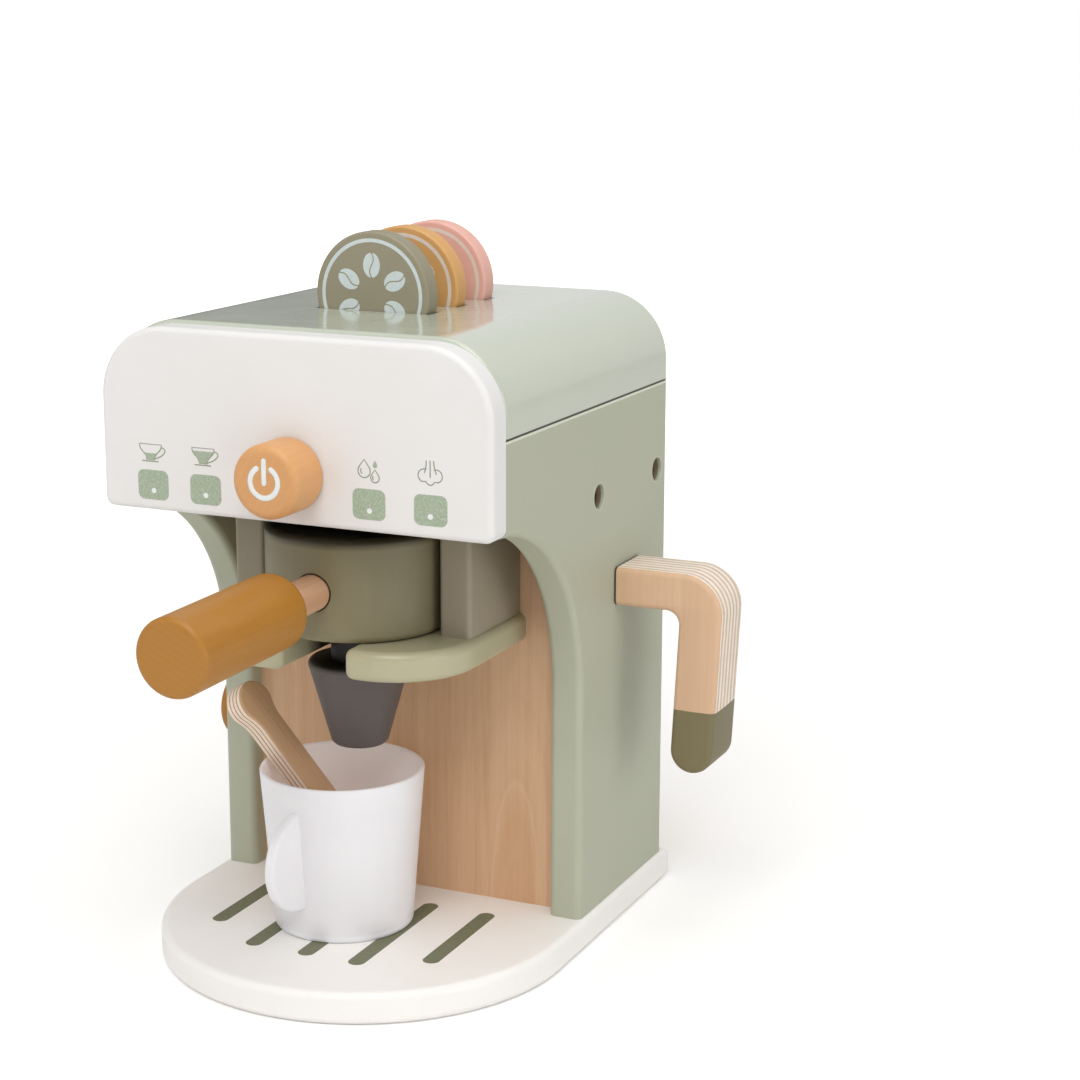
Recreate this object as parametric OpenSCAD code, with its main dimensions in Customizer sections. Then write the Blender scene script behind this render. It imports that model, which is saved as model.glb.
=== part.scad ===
// Toy coffee maker: a painted wooden play espresso machine.
// Millimetres. X to the right, front towards -Y, Z up.
// The origin is the centre of the base board's underside.

/* [Base board] */
// How far the base board stands out beyond the side panels on each side
base_margin = 2; // [0.5:0.5:8]
// Depth of the base board, from its straight back to the tip of its round front
base_d = 222; // [200:1:250]
// Thickness of the base board
base_t = 14; // [10:0.5:18]
// Rounding of the base board's edges
base_round = 3; // [1:0.5:4.5]

/* [Side panels] */
// Width of the machine over both side panels
body_w = 180; // [170:1:184]
// Thickness of a side panel
side_t = 15; // [12:0.5:18]
// Distance from the back of the base board to the back of the side panels
rear_margin = 5; // [2:0.5:12]
// Depth of a side panel down at the base
column_d = 98; // [85:1:105]
// Depth of a side panel up at the head
head_d = 175; // [160:1:190]
// Height of the head's underside
head_low = 202; // [196:1:208]
// Radius of the sweep between column and head
arch_r = 82; // [78:0.5:84]
// Height of the side panels' top edge
side_top = 241; // [236:1:250]
// Rounding of the side panels' edges
side_round = 3; // [1:0.5:5]

/* [Inner boards] */
// Distance from the side panels' front edge back to the column panel
column_set_back = 9; // [4:0.5:14]
// Thickness of the column panel
column_t = 8; // [6:0.5:10]
// Thickness of the back panel
back_t = 6; // [4:0.5:10]
// Distance from the side panels' rear edge in to the back panel
back_set_in = 3; // [1:0.5:8]
// Thickness of the shelf that carries the head
floor_t = 12; // [10:0.5:14]
// Height of the shelf's underside
floor_z = 195.4; // [194:0.2:198]
// How far the shelf reaches forward from the column's front edge
floor_reach = 58; // [50:1:66]

/* [Head cover] */
// Height of the cover
cover_h = 39; // [35:0.5:48]
// Gap along the seam between cover and side panels
seam = 0.5; // [0.2:0.1:1]
// Radius of the cover's upper corners
cover_corner = 30; // [20:1:34]
// Thickness of the cover's side and rear walls
cover_wall = 12; // [10:0.5:14]
// Thickness of the cover's top
cover_top = 10; // [8:0.5:12]
// Rounding of the cover's front and rear edges
cover_round = 2; // [1:0.5:3]
// How far the cover's rear stands in from the side panels' rear edge
cover_rear_in = 1; // [0.5:0.5:4]

/* [Front panel] */
// Thickness of the front panel
panel_t = 12; // [10:0.5:15]
// Step down from the cover's top to the front panel's top
panel_step = 1.5; // [0:0.5:3]
// Radius of the front panel's lower corners
panel_low_corner = 4; // [2.5:0.5:8]
// Rounding of the front panel's face edges
panel_round = 2.5; // [1:0.5:4]

/* [Knobs] */
// Height of the power knob's axis
knob_z = 223; // [216:1:230]
// Diameter of the power knob
knob_d = 30.6; // [24:0.2:36]
// Length of the power knob
knob_l = 20.5; // [12:0.5:24]
// Distance from the side panels' rear edge to the side knob's axis
side_knob_in = 59; // [40:1:66]
// Height of the side knob's axis
side_knob_z = 79; // [40:1:110]
// Diameter of the side knob
side_knob_d = 32; // [24:1:36]
// Length of the side knob
side_knob_l = 17.5; // [12:0.5:24]
// Rounding of a knob's outer edge
knob_round = 3.5; // [1:0.5:5]
// Diameter of a knob's axle
knob_axle_d = 8; // [6:0.5:10]

/* [Steam arm] */
// Thickness of the plywood that the arm is cut from
arm_t = 29; // [20:1:32]
// Distance from the side panels' rear edge to the arm's axis
arm_in = 47.9; // [40:0.1:60]
// Height of the arm's axis
arm_z = 157.6; // [140:0.2:175]
// Height of the arm's level bar
arm_bar = 17.2; // [14:0.2:20]
// Width of the arm's hanging leg
arm_leg = 18.8; // [15:0.1:20]
// How far the arm reaches out from the side panel
arm_reach = 48.3; // [42:0.1:60]
// Height of the arm's lower end
arm_low = 76; // [60:1:90]
// Radius of the arm's outer corner
arm_corner = 18; // [12:0.5:20]
// Radius of the arm's inner corner
arm_inner = 6; // [4:0.5:8]
// Rounding of the arm's edges
arm_round = 1.5; // [1:0.5:2.5]
// Diameter of the arm's axle
arm_axle_d = 12; // [10:0.5:14]

/* [Group] */
// Width of the holder plate
plate_w = 119; // [112:1:130]
// How far the holder plate reaches forward from the column panel
plate_reach = 86.5; // [80:0.5:92]
// Thickness of the holder plate
plate_t = 13; // [10:0.5:15]
// Height of the holder plate's top
plate_z = 148.5; // [146:0.5:150]
// Radius of the holder plate's front corners
plate_corner = 36; // [20:1:42]
// Rounding of the holder plate's edges
plate_round = 3.5; // [1:0.5:5]
// Width of the slot for the portafilter's neck
slot_w = 30; // [26:0.5:34]
// How far the slot stands to the right of the middle
slot_right = 0.8; // [0:0.1:1.5]
// How far the posts stand in from the holder plate's two ends
post_in = 2.75; // [0:0.25:3.5]
// Thickness of a post
post_t = 14.5; // [10:0.5:16]
// How far a post reaches forward from the column panel
post_reach = 50; // [36:1:56]
// Rounding of a post's upright edges
post_round = 2; // [1:0.5:4]

/* [Portafilter] */
// Distance from the column panel forward to the portafilter's axis
brew_reach = 43; // [42:0.5:50]
// Diameter of the portafilter's body
brew_d = 78.8; // [68:0.2:80]
// Height of the portafilter's body
brew_h = 44.5; // [36:0.5:45]
// Rounding of the body's edges
brew_round = 3; // [1:0.5:5]
// Height of the handle's axis above the body's underside
handle_up = 21.7; // [18:0.1:24]
// How much the handle droops towards its free end, in degrees
handle_droop = 0.6; // [0:0.1:1.5]
// Diameter of the handle
handle_d = 32; // [26:1:34]
// Distance from the portafilter's axis to the handle's near end
handle_from = 67.5; // [56:0.5:80]
// Length of the handle
handle_l = 79; // [60:1:110]
// Rounding of the handle's near end
handle_near_round = 6; // [2:0.5:9]
// Rounding of the handle's free end
handle_round = 2.5; // [1:0.5:5]
// Diameter of the dowel between body and handle
dowel_d = 15.4; // [12:0.2:18]
// How deep the dowel stands in the body
dowel_in_body = 20; // [12:1:24]
// How deep the dowel stands in the handle
dowel_in_handle = 30; // [20:1:50]
// How much wider the hole's mouth in the body is than the dowel
dowel_mouth = 1.2; // [0.4:0.2:2]
// Diameter of the spout's neck in the slot
neck_d = 24; // [20:0.5:24]
// Gap between the holder plate's underside and the spout's rim
spout_gap = 2.7; // [0.3:0.1:4]
// Diameter of the spout's tenon inside the body
tenon_d = 12; // [8:0.5:14]
// Height of the tenon inside the body
tenon_h = 9; // [6:0.5:10]
// Diameter of the spout's wide upper end
spout_top_d = 44; // [36:1:48]
// Diameter of the spout's lower end
spout_low_d = 24.8; // [18:0.2:34]
// Length of the spout's cone
spout_l = 38; // [30:1:40]

/* [Pods] */
// Diameter of a pod
pod_d = 53.7; // [48:0.1:56]
// Thickness of a pod
pod_t = 9.4; // [7:0.1:11]
// How deep a pod stands below the cover's top
pod_sink = 20; // [16:0.5:24]
// Distance from pod to pod
pod_pitch = 27.5; // [22:0.5:32]
// Distance from the side panels' rear edge to the middle pod
pod_in = 84; // [75:1:95]
// Rounding of a pod's rims
pod_round = 1.2; // [0.4:0.2:2]

/* [Cup] */
// Distance of the cup's middle to the left of the machine's middle
cup_left = 5.8; // [0:0.2:10]
// Distance from the column panel forward to the cup's middle
cup_reach = 49; // [45:1:60]
// Diameter of the cup's rim
cup_top_d = 71.8; // [60:0.2:74]
// Diameter of the cup's foot
cup_low_d = 60.6; // [50:0.2:64]
// Height of the cup
cup_h = 70.8; // [55:0.2:76]
// Thickness of the cup's wall
cup_wall = 1.8; // [1.2:0.1:3]
// Width of the ring that the cup stands on
cup_foot_rim = 3; // [2:0.5:5]
// Radius of the cup's half-moon handle
cup_grip_r = 22; // [16:0.5:24]
// Thickness of the cup's handle
cup_grip_t = 5; // [3:0.5:8]
// Height of the middle of the handle above the cup's foot
cup_grip_z = 37; // [30:1:42]
// Direction of the handle, in degrees from the front towards the left
cup_grip_turn = 7; // [0:1:30]

/* [Stirrer] */
// Length of the stirrer
stir_l = 119.5; // [105:0.5:125]
// Width of the stirrer's stem
stir_w = 12.8; // [11:0.2:14]
// Thickness of the stirrer's plywood
stir_t = 8.6; // [7:0.2:9.4]
// Diameter of the stirrer's round end
stir_bulb_d = 18.5; // [14:0.5:22]
// Radius of the hollow between stem and round end
stir_neck_r = 22; // [14:1:30]
// How far the stirrer leans from upright
stir_lean = 34.7; // [33:0.1:35]
// Direction in which the stirrer leans, in degrees from the right towards the back
stir_heading = 204; // [200:1:208]
// Turn of the stirrer about its own length
stir_twist = 148; // [140:1:156]
// Where the stirrer's foot stands to the right of the cup's middle
stir_right = 16.8; // [16:0.1:18]
// Where the stirrer's foot stands behind the cup's middle
stir_back = 16.5; // [16:0.1:18]
// Height of the stirrer's foot above the cup's underside
stir_up = 5.2; // [5:0.1:8]

/* [Fasteners] */
// Diameter of the counterbores in the side panels
bore_d = 11; // [9.5:0.5:12]
// Depth of the counterbores
bore_deep = 7; // [5:0.5:9]
// Distance from the side panels' rear edge to the rear counterbore
bore_in = 12.6; // [10:0.2:30]
// Distance between the two counterbores
bore_pitch = 67.5; // [50:0.5:74]
// Diameter of a screw's shank
screw_d = 4; // [3:0.5:5]
// Diameter of a screw's head
screw_head_d = 8.6; // [7.5:0.1:9.4]
// Length of a side screw's shank
side_screw_l = 32; // [25:1:45]
// Length of a base screw
base_screw_l = 38; // [28:1:50]
// Thickness of the washers on the axles' inner ends
washer_t = 5; // [3:0.5:6]
// How much wider a washer is than its axle
washer_wide = 12; // [8:1:14]
// Diameter of the small joining dowels
pin_d = 6; // [5:0.5:7]
// Depth of a joining dowel in each of its two boards
pin_deep = 8; // [6:0.5:9]
// Distance of the cover's outer dowels from the side panels' front and back
cover_pin_in = 20; // [14:1:40]

/* [Fits] */
// Radial clearance of an axle in its bore
running = 0.05; // [0.02:0.01:0.09]
// Gap between a turning piece and the face beside it
face_gap = 0.4; // [0.3:0.05:0.8]
// Gap all round a pod in its slot
pod_gap = 0.4; // [0.3:0.05:0.8]
// Gap between the portafilter and the plate above and below
slide_gap = 0.3; // [0.2:0.05:0.5]

/* [Hidden] */
$fn = 96;

// A cut runs past a face by this much
past = 1;

// Colours
sage = "#a9b39c";
cream = "#f4f1ec";
beech = "#d2ab84";
birch = "#dcbb95";
taupe = "#99927c";
olive = "#6e6649";
apricot = "#dba567";
mustard = "#c58a2c";
pink = "#dd9f93";
slate = "#5b5654";
steel = "#a8a9a6";

// Sizes and places that follow from the sizes above
base_w = body_w + 2 * base_margin;
posts_w = plate_w - 2 * post_in;
top_z = side_top + seam + cover_h;
base_round_y = -base_d / 2 + base_w / 2;
rear_y = base_d / 2 - rear_margin;
column_y = rear_y - column_d;
head_y = rear_y - head_d;
inner_x = body_w / 2 - side_t;
arch_y = column_y - arch_r;
arch_z = head_low - sqrt(arch_r * arch_r - pow(arch_y - head_y, 2));
plank_x = body_w / 2 - side_t / 2;
column_face_y = column_y + column_set_back;
back_face_y = rear_y - back_set_in - back_t;
panel_face_y = head_y - panel_t;
floor_top = floor_z + floor_t;
cover_low = side_top + seam;
brew_y = column_face_y - brew_reach;
brew_low = plate_z + slide_gap;
handle_z = brew_low + handle_up;
spout_top = plate_z - plate_t - spout_gap;
knob_base_y = panel_face_y - face_gap;
side_knob_y = rear_y - side_knob_in;
arm_y = rear_y - arm_in;
outer_x = body_w / 2 + face_gap;
pod_y = rear_y - pod_in;
pod_z = top_z - pod_sink + pod_d / 2;
pod_r = pod_d / 2;
cup_y = column_face_y - cup_reach;
screw_z = floor_z + floor_t / 2;

// Half of a turned profile; low and high round its outer edges
module turned_profile(r, h, low, high) {
    difference() {
        square([r, h]);
        if (low > 0) translate([r - low, -past]) square([low + past, low + past]);
        if (high > 0) translate([r - high, h - high]) square([high + past, high + past]);
    }
    intersection() {
        square([r, h]);
        union() {
            if (low > 0) translate([r - low, low]) circle(low);
            if (high > 0) translate([r - high, h - high]) circle(high);
        }
    }
}

module turned(r, h, low, high) {
    rotate_extrude() turned_profile(r, h, low, high);
}

// Profile of a cutter that leaves both edges of a board's hollow curve rounded by e
module hollow_profile(r, h, e) {
    difference() {
        translate([0, -past]) square([r + e, h + 2 * past]);
        translate([r, e]) square([e + past, h - 2 * e]);
        for (z = [e, h - e]) translate([r + e, z]) circle(e);
    }
}

// Board in the XY plane with its lower edge on the X axis: rounded corners and rounded edges.
// With r_low = 0 the lower edge stays sharp.
module board(w, h, t, r_top, r_low, low, high) {
    x = w / 2;
    for (turn = [0, 1]) mirror([turn, 0, 0]) translate([x - r_top, h - r_top, 0])
        rotate_extrude(angle = 90) turned_profile(r_top, t, low, high);
    translate([0, h - r_top, 0]) rotate([90, 0, 0]) linear_extrude(h - r_top - r_low) {
        turned_profile(x, t, low, high);
        mirror([1, 0]) turned_profile(x, t, low, high);
    }
    translate([r_top - x, 0, 0]) rotate([90, 0, 90]) linear_extrude(w - 2 * r_top)
        translate([r_low, 0]) turned_profile(h - r_low, t, low, high);
    if (r_low > 0) {
        for (turn = [0, 1]) mirror([turn, 0, 0]) translate([x - r_low, r_low, 0]) rotate([0, 0, -90])
            rotate_extrude(angle = 90) turned_profile(r_low, t, low, high);
        translate([r_low - x, 0, 0]) rotate([90, 0, 90]) linear_extrude(w - 2 * r_low)
            translate([h / 2, 0]) mirror([1, 0]) turned_profile(h / 2, t, low, high);
    }
}

// Stands a turned piece with its axis forwards, to the right or to the left
module forwards(x, y, z) {
    translate([x, y, z]) rotate([90, 0, 0]) children();
}

module rightwards(x, y, z) {
    translate([x, y, z]) rotate([0, 90, 0]) children();
}

module leftwards(x, y, z) {
    translate([x, y, z]) rotate([0, -90, 0]) children();
}

// Base board: a straight rear part and a half round front, rounded all along
module base_plank() {
    w = base_w / 2;
    l = base_d / 2 - base_round_y;
    translate([0, base_round_y, 0]) rotate([0, 0, 180])
        rotate_extrude(angle = 180) turned_profile(w, base_t, base_round, base_round);
    intersection() {
        translate([0, base_d / 2, 0]) rotate([90, 0, 0]) linear_extrude(l) {
            turned_profile(w, base_t, base_round, base_round);
            mirror([1, 0]) turned_profile(w, base_t, base_round, base_round);
        }
        translate([-w, base_round_y, 0]) rotate([90, 0, 90]) linear_extrude(base_w)
            turned_profile(l, base_t, base_round, base_round);
    }
    translate([-w + base_round, base_round_y, 0]) cube([base_w - 2 * base_round, l / 2, base_t]);
}

// Places of the screws that hold the side panels to the base board
module base_screw_places() {
    for (side = [-1, 1]) for (y = [column_y + column_d * 0.22, rear_y - column_d * 0.22])
        translate([side * plank_x, y, 0]) children();
}

module base_screw() {
    cylinder(d1 = 2 * screw_d, d2 = screw_d, h = screw_d / 2);
    cylinder(d = screw_d, h = base_screw_l);
}

module base_board() {
    color(cream) difference() {
        base_plank();
        base_screw_places() base_screw();
    }
}

// Cutter for the swept front edge: straight below, then one arc up to the head
module sweep(e) {
    translate([0, head_y - past, base_t - past]) linear_extrude(arch_z - base_t + past)
        mirror([1, -1]) hollow_profile(column_y - head_y + past, side_t, e);
    translate([0, arch_y, arch_z]) rotate([90, 0, 90])
        rotate_extrude(angle = 180) hollow_profile(arch_r, side_t, e);
}

// Side panel with its outer face at x = 0 and its thickness towards +X
module side_blank() {
    difference() {
        translate([0, head_y, base_t]) linear_extrude(side_top - base_t)
            mirror([1, -1]) turned_profile(head_d, side_t, side_round, side_round);
        sweep(side_round);
    }
}

// Holes that both side panels share; x = 0 is the outer face
module side_holes() {
    for (y = [rear_y - bore_in, rear_y - bore_in - bore_pitch]) {
        rightwards(-past, y, screw_z) cylinder(d = bore_d, h = bore_deep + past);
        rightwards(0, y, screw_z) cylinder(d = screw_d, h = side_t + past);
    }
    for (y = [head_y + cover_pin_in, rear_y - cover_pin_in])
        translate([side_t / 2, y, side_top - pin_deep]) cylinder(d = pin_d, h = pin_deep + past);
    for (z = panel_pin_heights())
        translate([side_t / 2, head_y + pin_deep, z]) rotate([90, 0, 0])
            cylinder(d = pin_d, h = pin_deep + past);
}

// Heights of the dowels between front panel and side panels
function panel_pin_heights() = let (h = side_top - head_low) [head_low + h * 0.3, side_top - h * 0.25];

module side_panel_left() {
    color(sage) difference() {
        translate([-body_w / 2, 0, 0]) side_blank();
        translate([-body_w / 2, 0, 0]) side_holes();
        base_screw_places() base_screw();
        leftwards(-inner_x + past, side_knob_y, side_knob_z)
            cylinder(d = knob_axle_d + 2 * running, h = side_t + 2 * past);
    }
}

module side_panel_right() {
    color(sage) difference() {
        translate([body_w / 2, 0, 0]) mirror([1, 0, 0]) side_blank();
        translate([body_w / 2, 0, 0]) mirror([1, 0, 0]) side_holes();
        base_screw_places() base_screw();
        rightwards(inner_x - past, arm_y, arm_z)
            cylinder(d = arm_axle_d + 2 * running, h = side_t + 2 * past);
    }
}

// Dowels between the holder plate and the column panel
module holder_dowels() {
    color(beech) for (side = [-1, 1])
        forwards(side * plate_w / 3, column_face_y + column_t - past, plate_z - plate_t / 2)
            cylinder(d = pin_d, h = pin_deep + column_t - past);
}

module column_panel() {
    color(beech) difference() {
        translate([-inner_x, column_face_y, base_t])
            cube([2 * inner_x, column_t, floor_z - base_t]);
        holder_dowels();
    }
}

module back_panel() {
    color(beech) translate([-inner_x, back_face_y, base_t])
        cube([2 * inner_x, back_t, side_top - base_t]);
}

module side_screw() {
    cylinder(d = screw_head_d, h = screw_d * 0.6);
    cylinder(d = screw_d, h = side_screw_l);
}

// Screws at the bottom of the counterbores, driven inwards
module side_screws() {
    color(steel) for (y = [rear_y - bore_in, rear_y - bore_in - bore_pitch]) {
        rightwards(-body_w / 2 + bore_deep - screw_d * 0.6, y, screw_z) side_screw();
        leftwards(body_w / 2 - bore_deep + screw_d * 0.6, y, screw_z) side_screw();
    }
}

module head_floor() {
    color(beech) difference() {
        translate([-inner_x, column_y - floor_reach, floor_z])
            cube([2 * inner_x, back_face_y - column_y + floor_reach, floor_t]);
        side_screws();
    }
}

// Slots for the pods, one above each pocket of the rack
module pod_places() {
    for (i = [-1 : 1]) translate([0, pod_y + i * pod_pitch, 0]) children();
}

module pod_slot(z, h) {
    l = pod_d + 2 * pod_gap;
    w = pod_t + 2 * pod_gap;
    translate([-l / 2, -w / 2, z]) cube([l, w, h]);
}

module head_cover() {
    e = cover_round;
    h = top_z - cover_low;
    y = rear_y - cover_rear_in;
    color(sage) difference() {
        forwards(0, y, cover_low) board(body_w, h, y - head_y, cover_corner, 0, e, e);
        forwards(0, y - cover_wall, cover_low) cover_hollow(y - head_y);
        pod_places() pod_slot(top_z - cover_top - past, cover_top + 2 * past);
        cover_dowels();
    }
}

// Room inside the cover, open below and to the front
module cover_hollow(l) {
    x = body_w / 2 - cover_wall;
    h = top_z - cover_low - cover_top;
    r = cover_corner - cover_wall;
    linear_extrude(l) {
        translate([-x, -past]) square([2 * x, h - r + past]);
        translate([r - x, 0]) square([2 * (x - r), h]);
        for (side = [-1, 1]) translate([side * (x - r), h - r]) circle(r);
    }
}

// Block under the cover's top with a round-bottomed pocket for each pod
module pod_rack() {
    wall = 6;
    low = top_z - pod_sink - wall;
    l = pod_d + 2 * wall;
    d = 2 * pod_pitch + pod_t + 2 * wall;
    color(beech) difference() {
        translate([-l / 2, pod_y - d / 2, low]) cube([l, d, top_z - cover_top - low]);
        pod_places() forwards(0, pod_t / 2 + pod_gap, pod_z)
            cylinder(r = pod_r + pod_gap, h = pod_t + 2 * pod_gap);
    }
}

// Dowels between the side panels' top edges and the cover
module cover_dowels() {
    color(beech) for (side = [-1, 1]) for (y = [head_y + cover_pin_in, rear_y - cover_pin_in])
        translate([side * plank_x, y, side_top - pin_deep])
            cylinder(d = pin_d, h = 2 * pin_deep + seam);
}

// Dowels between front panel and side panels
module panel_dowels() {
    color(beech) for (side = [-1, 1]) for (z = panel_pin_heights())
        forwards(side * plank_x, head_y + pin_deep, z) cylinder(d = pin_d, h = 2 * pin_deep);
}

module front_panel() {
    h = top_z - panel_step - head_low;
    color(cream) difference() {
        forwards(0, head_y, head_low)
            board(body_w, h, panel_t, cover_corner, panel_low_corner, 0, panel_round);
        panel_dowels();
        forwards(0, head_y + past, knob_z)
            cylinder(d = knob_axle_d + 2 * running, h = panel_t + 2 * past);
    }
}

// Knob with a blind hole for its axle; its face looks along +Z
module knob(d, l) {
    difference() {
        turned(d / 2, l, 1, knob_round);
        translate([0, 0, -past]) cylinder(d = knob_axle_d, h = l / 2 + past);
    }
}

// Axle that starts inside its knob and ends in the washer behind the board
module knob_axle(l, board) {
    translate([0, 0, -board - 2 * face_gap - washer_t])
        cylinder(d = knob_axle_d, h = l / 2 + board + 2 * face_gap + washer_t);
}

// Washer glued on an axle's end behind the board
module washer(axle, board) {
    translate([0, 0, -board - 2 * face_gap - washer_t]) difference() {
        turned((axle + washer_wide) / 2, washer_t, 0.6, 0.6);
        translate([0, 0, -past]) cylinder(d = axle, h = washer_t + 2 * past);
    }
}

module power_knob() {
    color(apricot) forwards(0, knob_base_y, knob_z) knob(knob_d, knob_l);
}

module power_knob_axle() {
    color(beech) forwards(0, knob_base_y, knob_z) knob_axle(knob_l, panel_t);
}

module power_knob_washer() {
    color(beech) forwards(0, knob_base_y, knob_z) washer(knob_axle_d, panel_t);
}

module side_knob() {
    color(mustard) leftwards(-outer_x, side_knob_y, side_knob_z) knob(side_knob_d, side_knob_l);
}

module side_knob_axle() {
    color(beech) leftwards(-outer_x, side_knob_y, side_knob_z) knob_axle(side_knob_l, side_t);
}

module side_knob_washer() {
    color(beech) leftwards(-outer_x, side_knob_y, side_knob_z) washer(knob_axle_d, side_t);
}

// Two-sided profile of the arm's plywood, w wide about x = 0, arm_t thick from y = 0
module arm_profile(w) {
    turned_profile(w / 2, arm_t, arm_round, arm_round);
    mirror([1, 0]) turned_profile(w / 2, arm_t, arm_round, arm_round);
}

// The arm lies in the XY plane here: level bar from x = 0, leg down to y = -arm_drop
module arm_shape() {
    e = arm_round;
    top = arm_bar / 2;
    end = arm_leg / 2;
    drop = arm_z - arm_low;
    f = arm_inner;
    inside = arm_reach - arm_leg;
    rotate([90, 0, 90]) linear_extrude(arm_reach - arm_corner) arm_profile(arm_bar);
    translate([arm_reach - end, top - arm_corner, 0]) rotate([90, 0, 0])
        linear_extrude(top - arm_corner + drop - end) arm_profile(arm_leg);
    translate([arm_reach - end, end - drop, 0]) turned(end, arm_t, e, e);
    translate([arm_reach - arm_corner, top - arm_corner, 0])
        rotate_extrude(angle = 90) turned_profile(arm_corner, arm_t, e, e);
    difference() {
        translate([inside - f, -top - f, 0]) cube([f + 2 * e, f + 2 * e, arm_t]);
        translate([inside - f, -top - f, 0]) rotate_extrude(angle = 90) hollow_profile(f, arm_t, e);
    }
}

module steam_arm() {
    color(birch) difference() {
        forwards(outer_x, arm_y + arm_t / 2, arm_z) arm_shape();
        rightwards(outer_x - past, arm_y, arm_z)
            cylinder(d = arm_axle_d, h = arm_reach / 2 + past);
    }
}

module steam_arm_axle() {
    color(beech) rightwards(inner_x - face_gap - washer_t, arm_y, arm_z)
        cylinder(d = arm_axle_d, h = side_t + 2 * face_gap + washer_t + arm_reach / 2);
}

module steam_arm_washer() {
    color(beech) rightwards(outer_x, arm_y, arm_z) washer(arm_axle_d, side_t);
}

// Post beside the portafilter, rounded along its upright front edges
module post(side) {
    r = post_round;
    y = column_face_y - post_reach;
    translate([side * (posts_w - post_t) / 2, 0, plate_z]) linear_extrude(floor_z - plate_z) {
        translate([-post_t / 2, y + r]) square([post_t, post_reach - r]);
        translate([r - post_t / 2, y]) square([post_t - 2 * r, r]);
        for (x = [r - post_t / 2, post_t / 2 - r]) translate([x, y + r]) circle(r);
    }
}

module post_left() {
    color(taupe) post(-1);
}

module post_right() {
    color(taupe) post(1);
}

// Slot of the holder plate, seen from its round end: straight sides and a rounded mouth
module holder_slot() {
    e = plate_round;
    s = slot_w / 2;
    c = e + 1;
    l = plate_reach - brew_reach;
    rotate_extrude(angle = 180) hollow_profile(s, plate_t, e);
    rotate([90, 0, 0]) linear_extrude(l - c) {
        hollow_profile(s, plate_t, e);
        mirror([1, 0]) hollow_profile(s, plate_t, e);
    }
    difference() {
        translate([-s - c, -l - past, -past]) cube([2 * (s + c), c + past, plate_t + 2 * past]);
        for (side = [-1, 1]) translate([side * (s + c), c - l, 0]) turned(c, plate_t, e, e);
    }
}

module holder_plate() {
    e = plate_round;
    color(sage) difference() {
        translate([0, column_face_y, plate_z - plate_t]) rotate([0, 0, 180])
            board(plate_w, plate_reach, plate_t, plate_corner, 0, e, e);
        translate([slot_right, brew_y, plate_z - plate_t]) holder_slot();
        holder_dowels();
    }
}

// Lays a turned piece on the handle's axis, l away from the portafilter's axis
module along_handle(l) {
    translate([0, brew_y, handle_z]) rotate([90 + handle_droop, 0, 0]) translate([0, 0, l]) children();
}

// Dowel that joins the portafilter's body and its handle
module portafilter_dowel() {
    start = brew_d / 2 - dowel_in_body;
    color(beech) along_handle(start) cylinder(d = dowel_d, h = handle_from + dowel_in_handle - start);
}

module portafilter_body() {
    mouth = 3;
    color(olive) difference() {
        translate([0, brew_y, brew_low]) turned(brew_d / 2, brew_h, brew_round, brew_round);
        portafilter_dowel();
        along_handle(brew_d / 2 - mouth) cylinder(d = dowel_d + dowel_mouth, h = mouth + past);
        translate([0, brew_y, brew_low - past])
            cylinder(d = tenon_d + 2 * running, h = tenon_h + slide_gap + past);
    }
}

module portafilter_handle() {
    color(mustard) difference() {
        along_handle(handle_from) turned(handle_d / 2, handle_l, handle_near_round, handle_round);
        portafilter_dowel();
    }
}

// Spout: cone under the plate, neck in the slot, tenon up into the body
module portafilter_spout() {
    r = spout_top_d / 2;
    s = spout_low_d / 2;
    rim = 2.5;
    color(slate) translate([0, brew_y, spout_top]) {
        rotate_extrude() difference() {
            union() {
                polygon([[0, 0], [r - rim, 0], [r, -rim], [s, rim / 2 - spout_l],
                    [s - rim / 2, -spout_l], [0, -spout_l]]);
                translate([r - rim, -rim]) circle(rim);
            }
            translate([-2 * rim, -2 * spout_l]) square([2 * rim, 3 * spout_l]);
        }
        cylinder(d = neck_d, h = brew_low - slide_gap / 2 - spout_top);
        cylinder(d = tenon_d, h = brew_low + tenon_h - spout_top);
    }
}

// One pod, standing in its slot; i counts from the front, -1 to 1
module pod(i) {
    forwards(0, pod_y + i * pod_pitch + pod_t / 2, pod_z)
        turned(pod_r, pod_t, pod_round, pod_round);
}

module pod_olive() {
    color(olive) pod(-1);
}

module pod_orange() {
    color(apricot) pod(0);
}

module pod_pink() {
    color(pink) pod(1);
}

// Radius of the cup's outside at a height above its foot
function cup_r(z) = cup_low_d / 2 + (cup_top_d - cup_low_d) / 2 * z / cup_h;

// Inside of the cup, down to its floor
module cup_hollow() {
    floor_h = cup_wall + 1;
    translate([0, 0, floor_h]) cylinder(r1 = cup_r(floor_h) - cup_wall,
        r2 = cup_r(cup_h + past) - cup_wall, h = cup_h - floor_h + past);
}

module cup() {
    foot = 1;
    color(cream) translate([-cup_left, cup_y, base_t]) difference() {
        union() {
            cylinder(r1 = cup_r(0) - foot / 2, r2 = cup_r(foot) - foot / 2, h = foot);
            translate([0, 0, foot]) cylinder(r1 = cup_r(foot), r2 = cup_r(cup_h), h = cup_h - foot);
            rotate([0, 0, -90 - cup_grip_turn])
                translate([cup_r(cup_grip_z) - 1.5, cup_grip_t / 2, cup_grip_z]) rotate([90, 0, 0])
                    turned(cup_grip_r, cup_grip_t, 1.5, 1.5);
        }
        cup_hollow();
        translate([0, 0, -past]) cylinder(r = cup_r(0) - cup_foot_rim, h = foot + past);
    }
}

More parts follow.
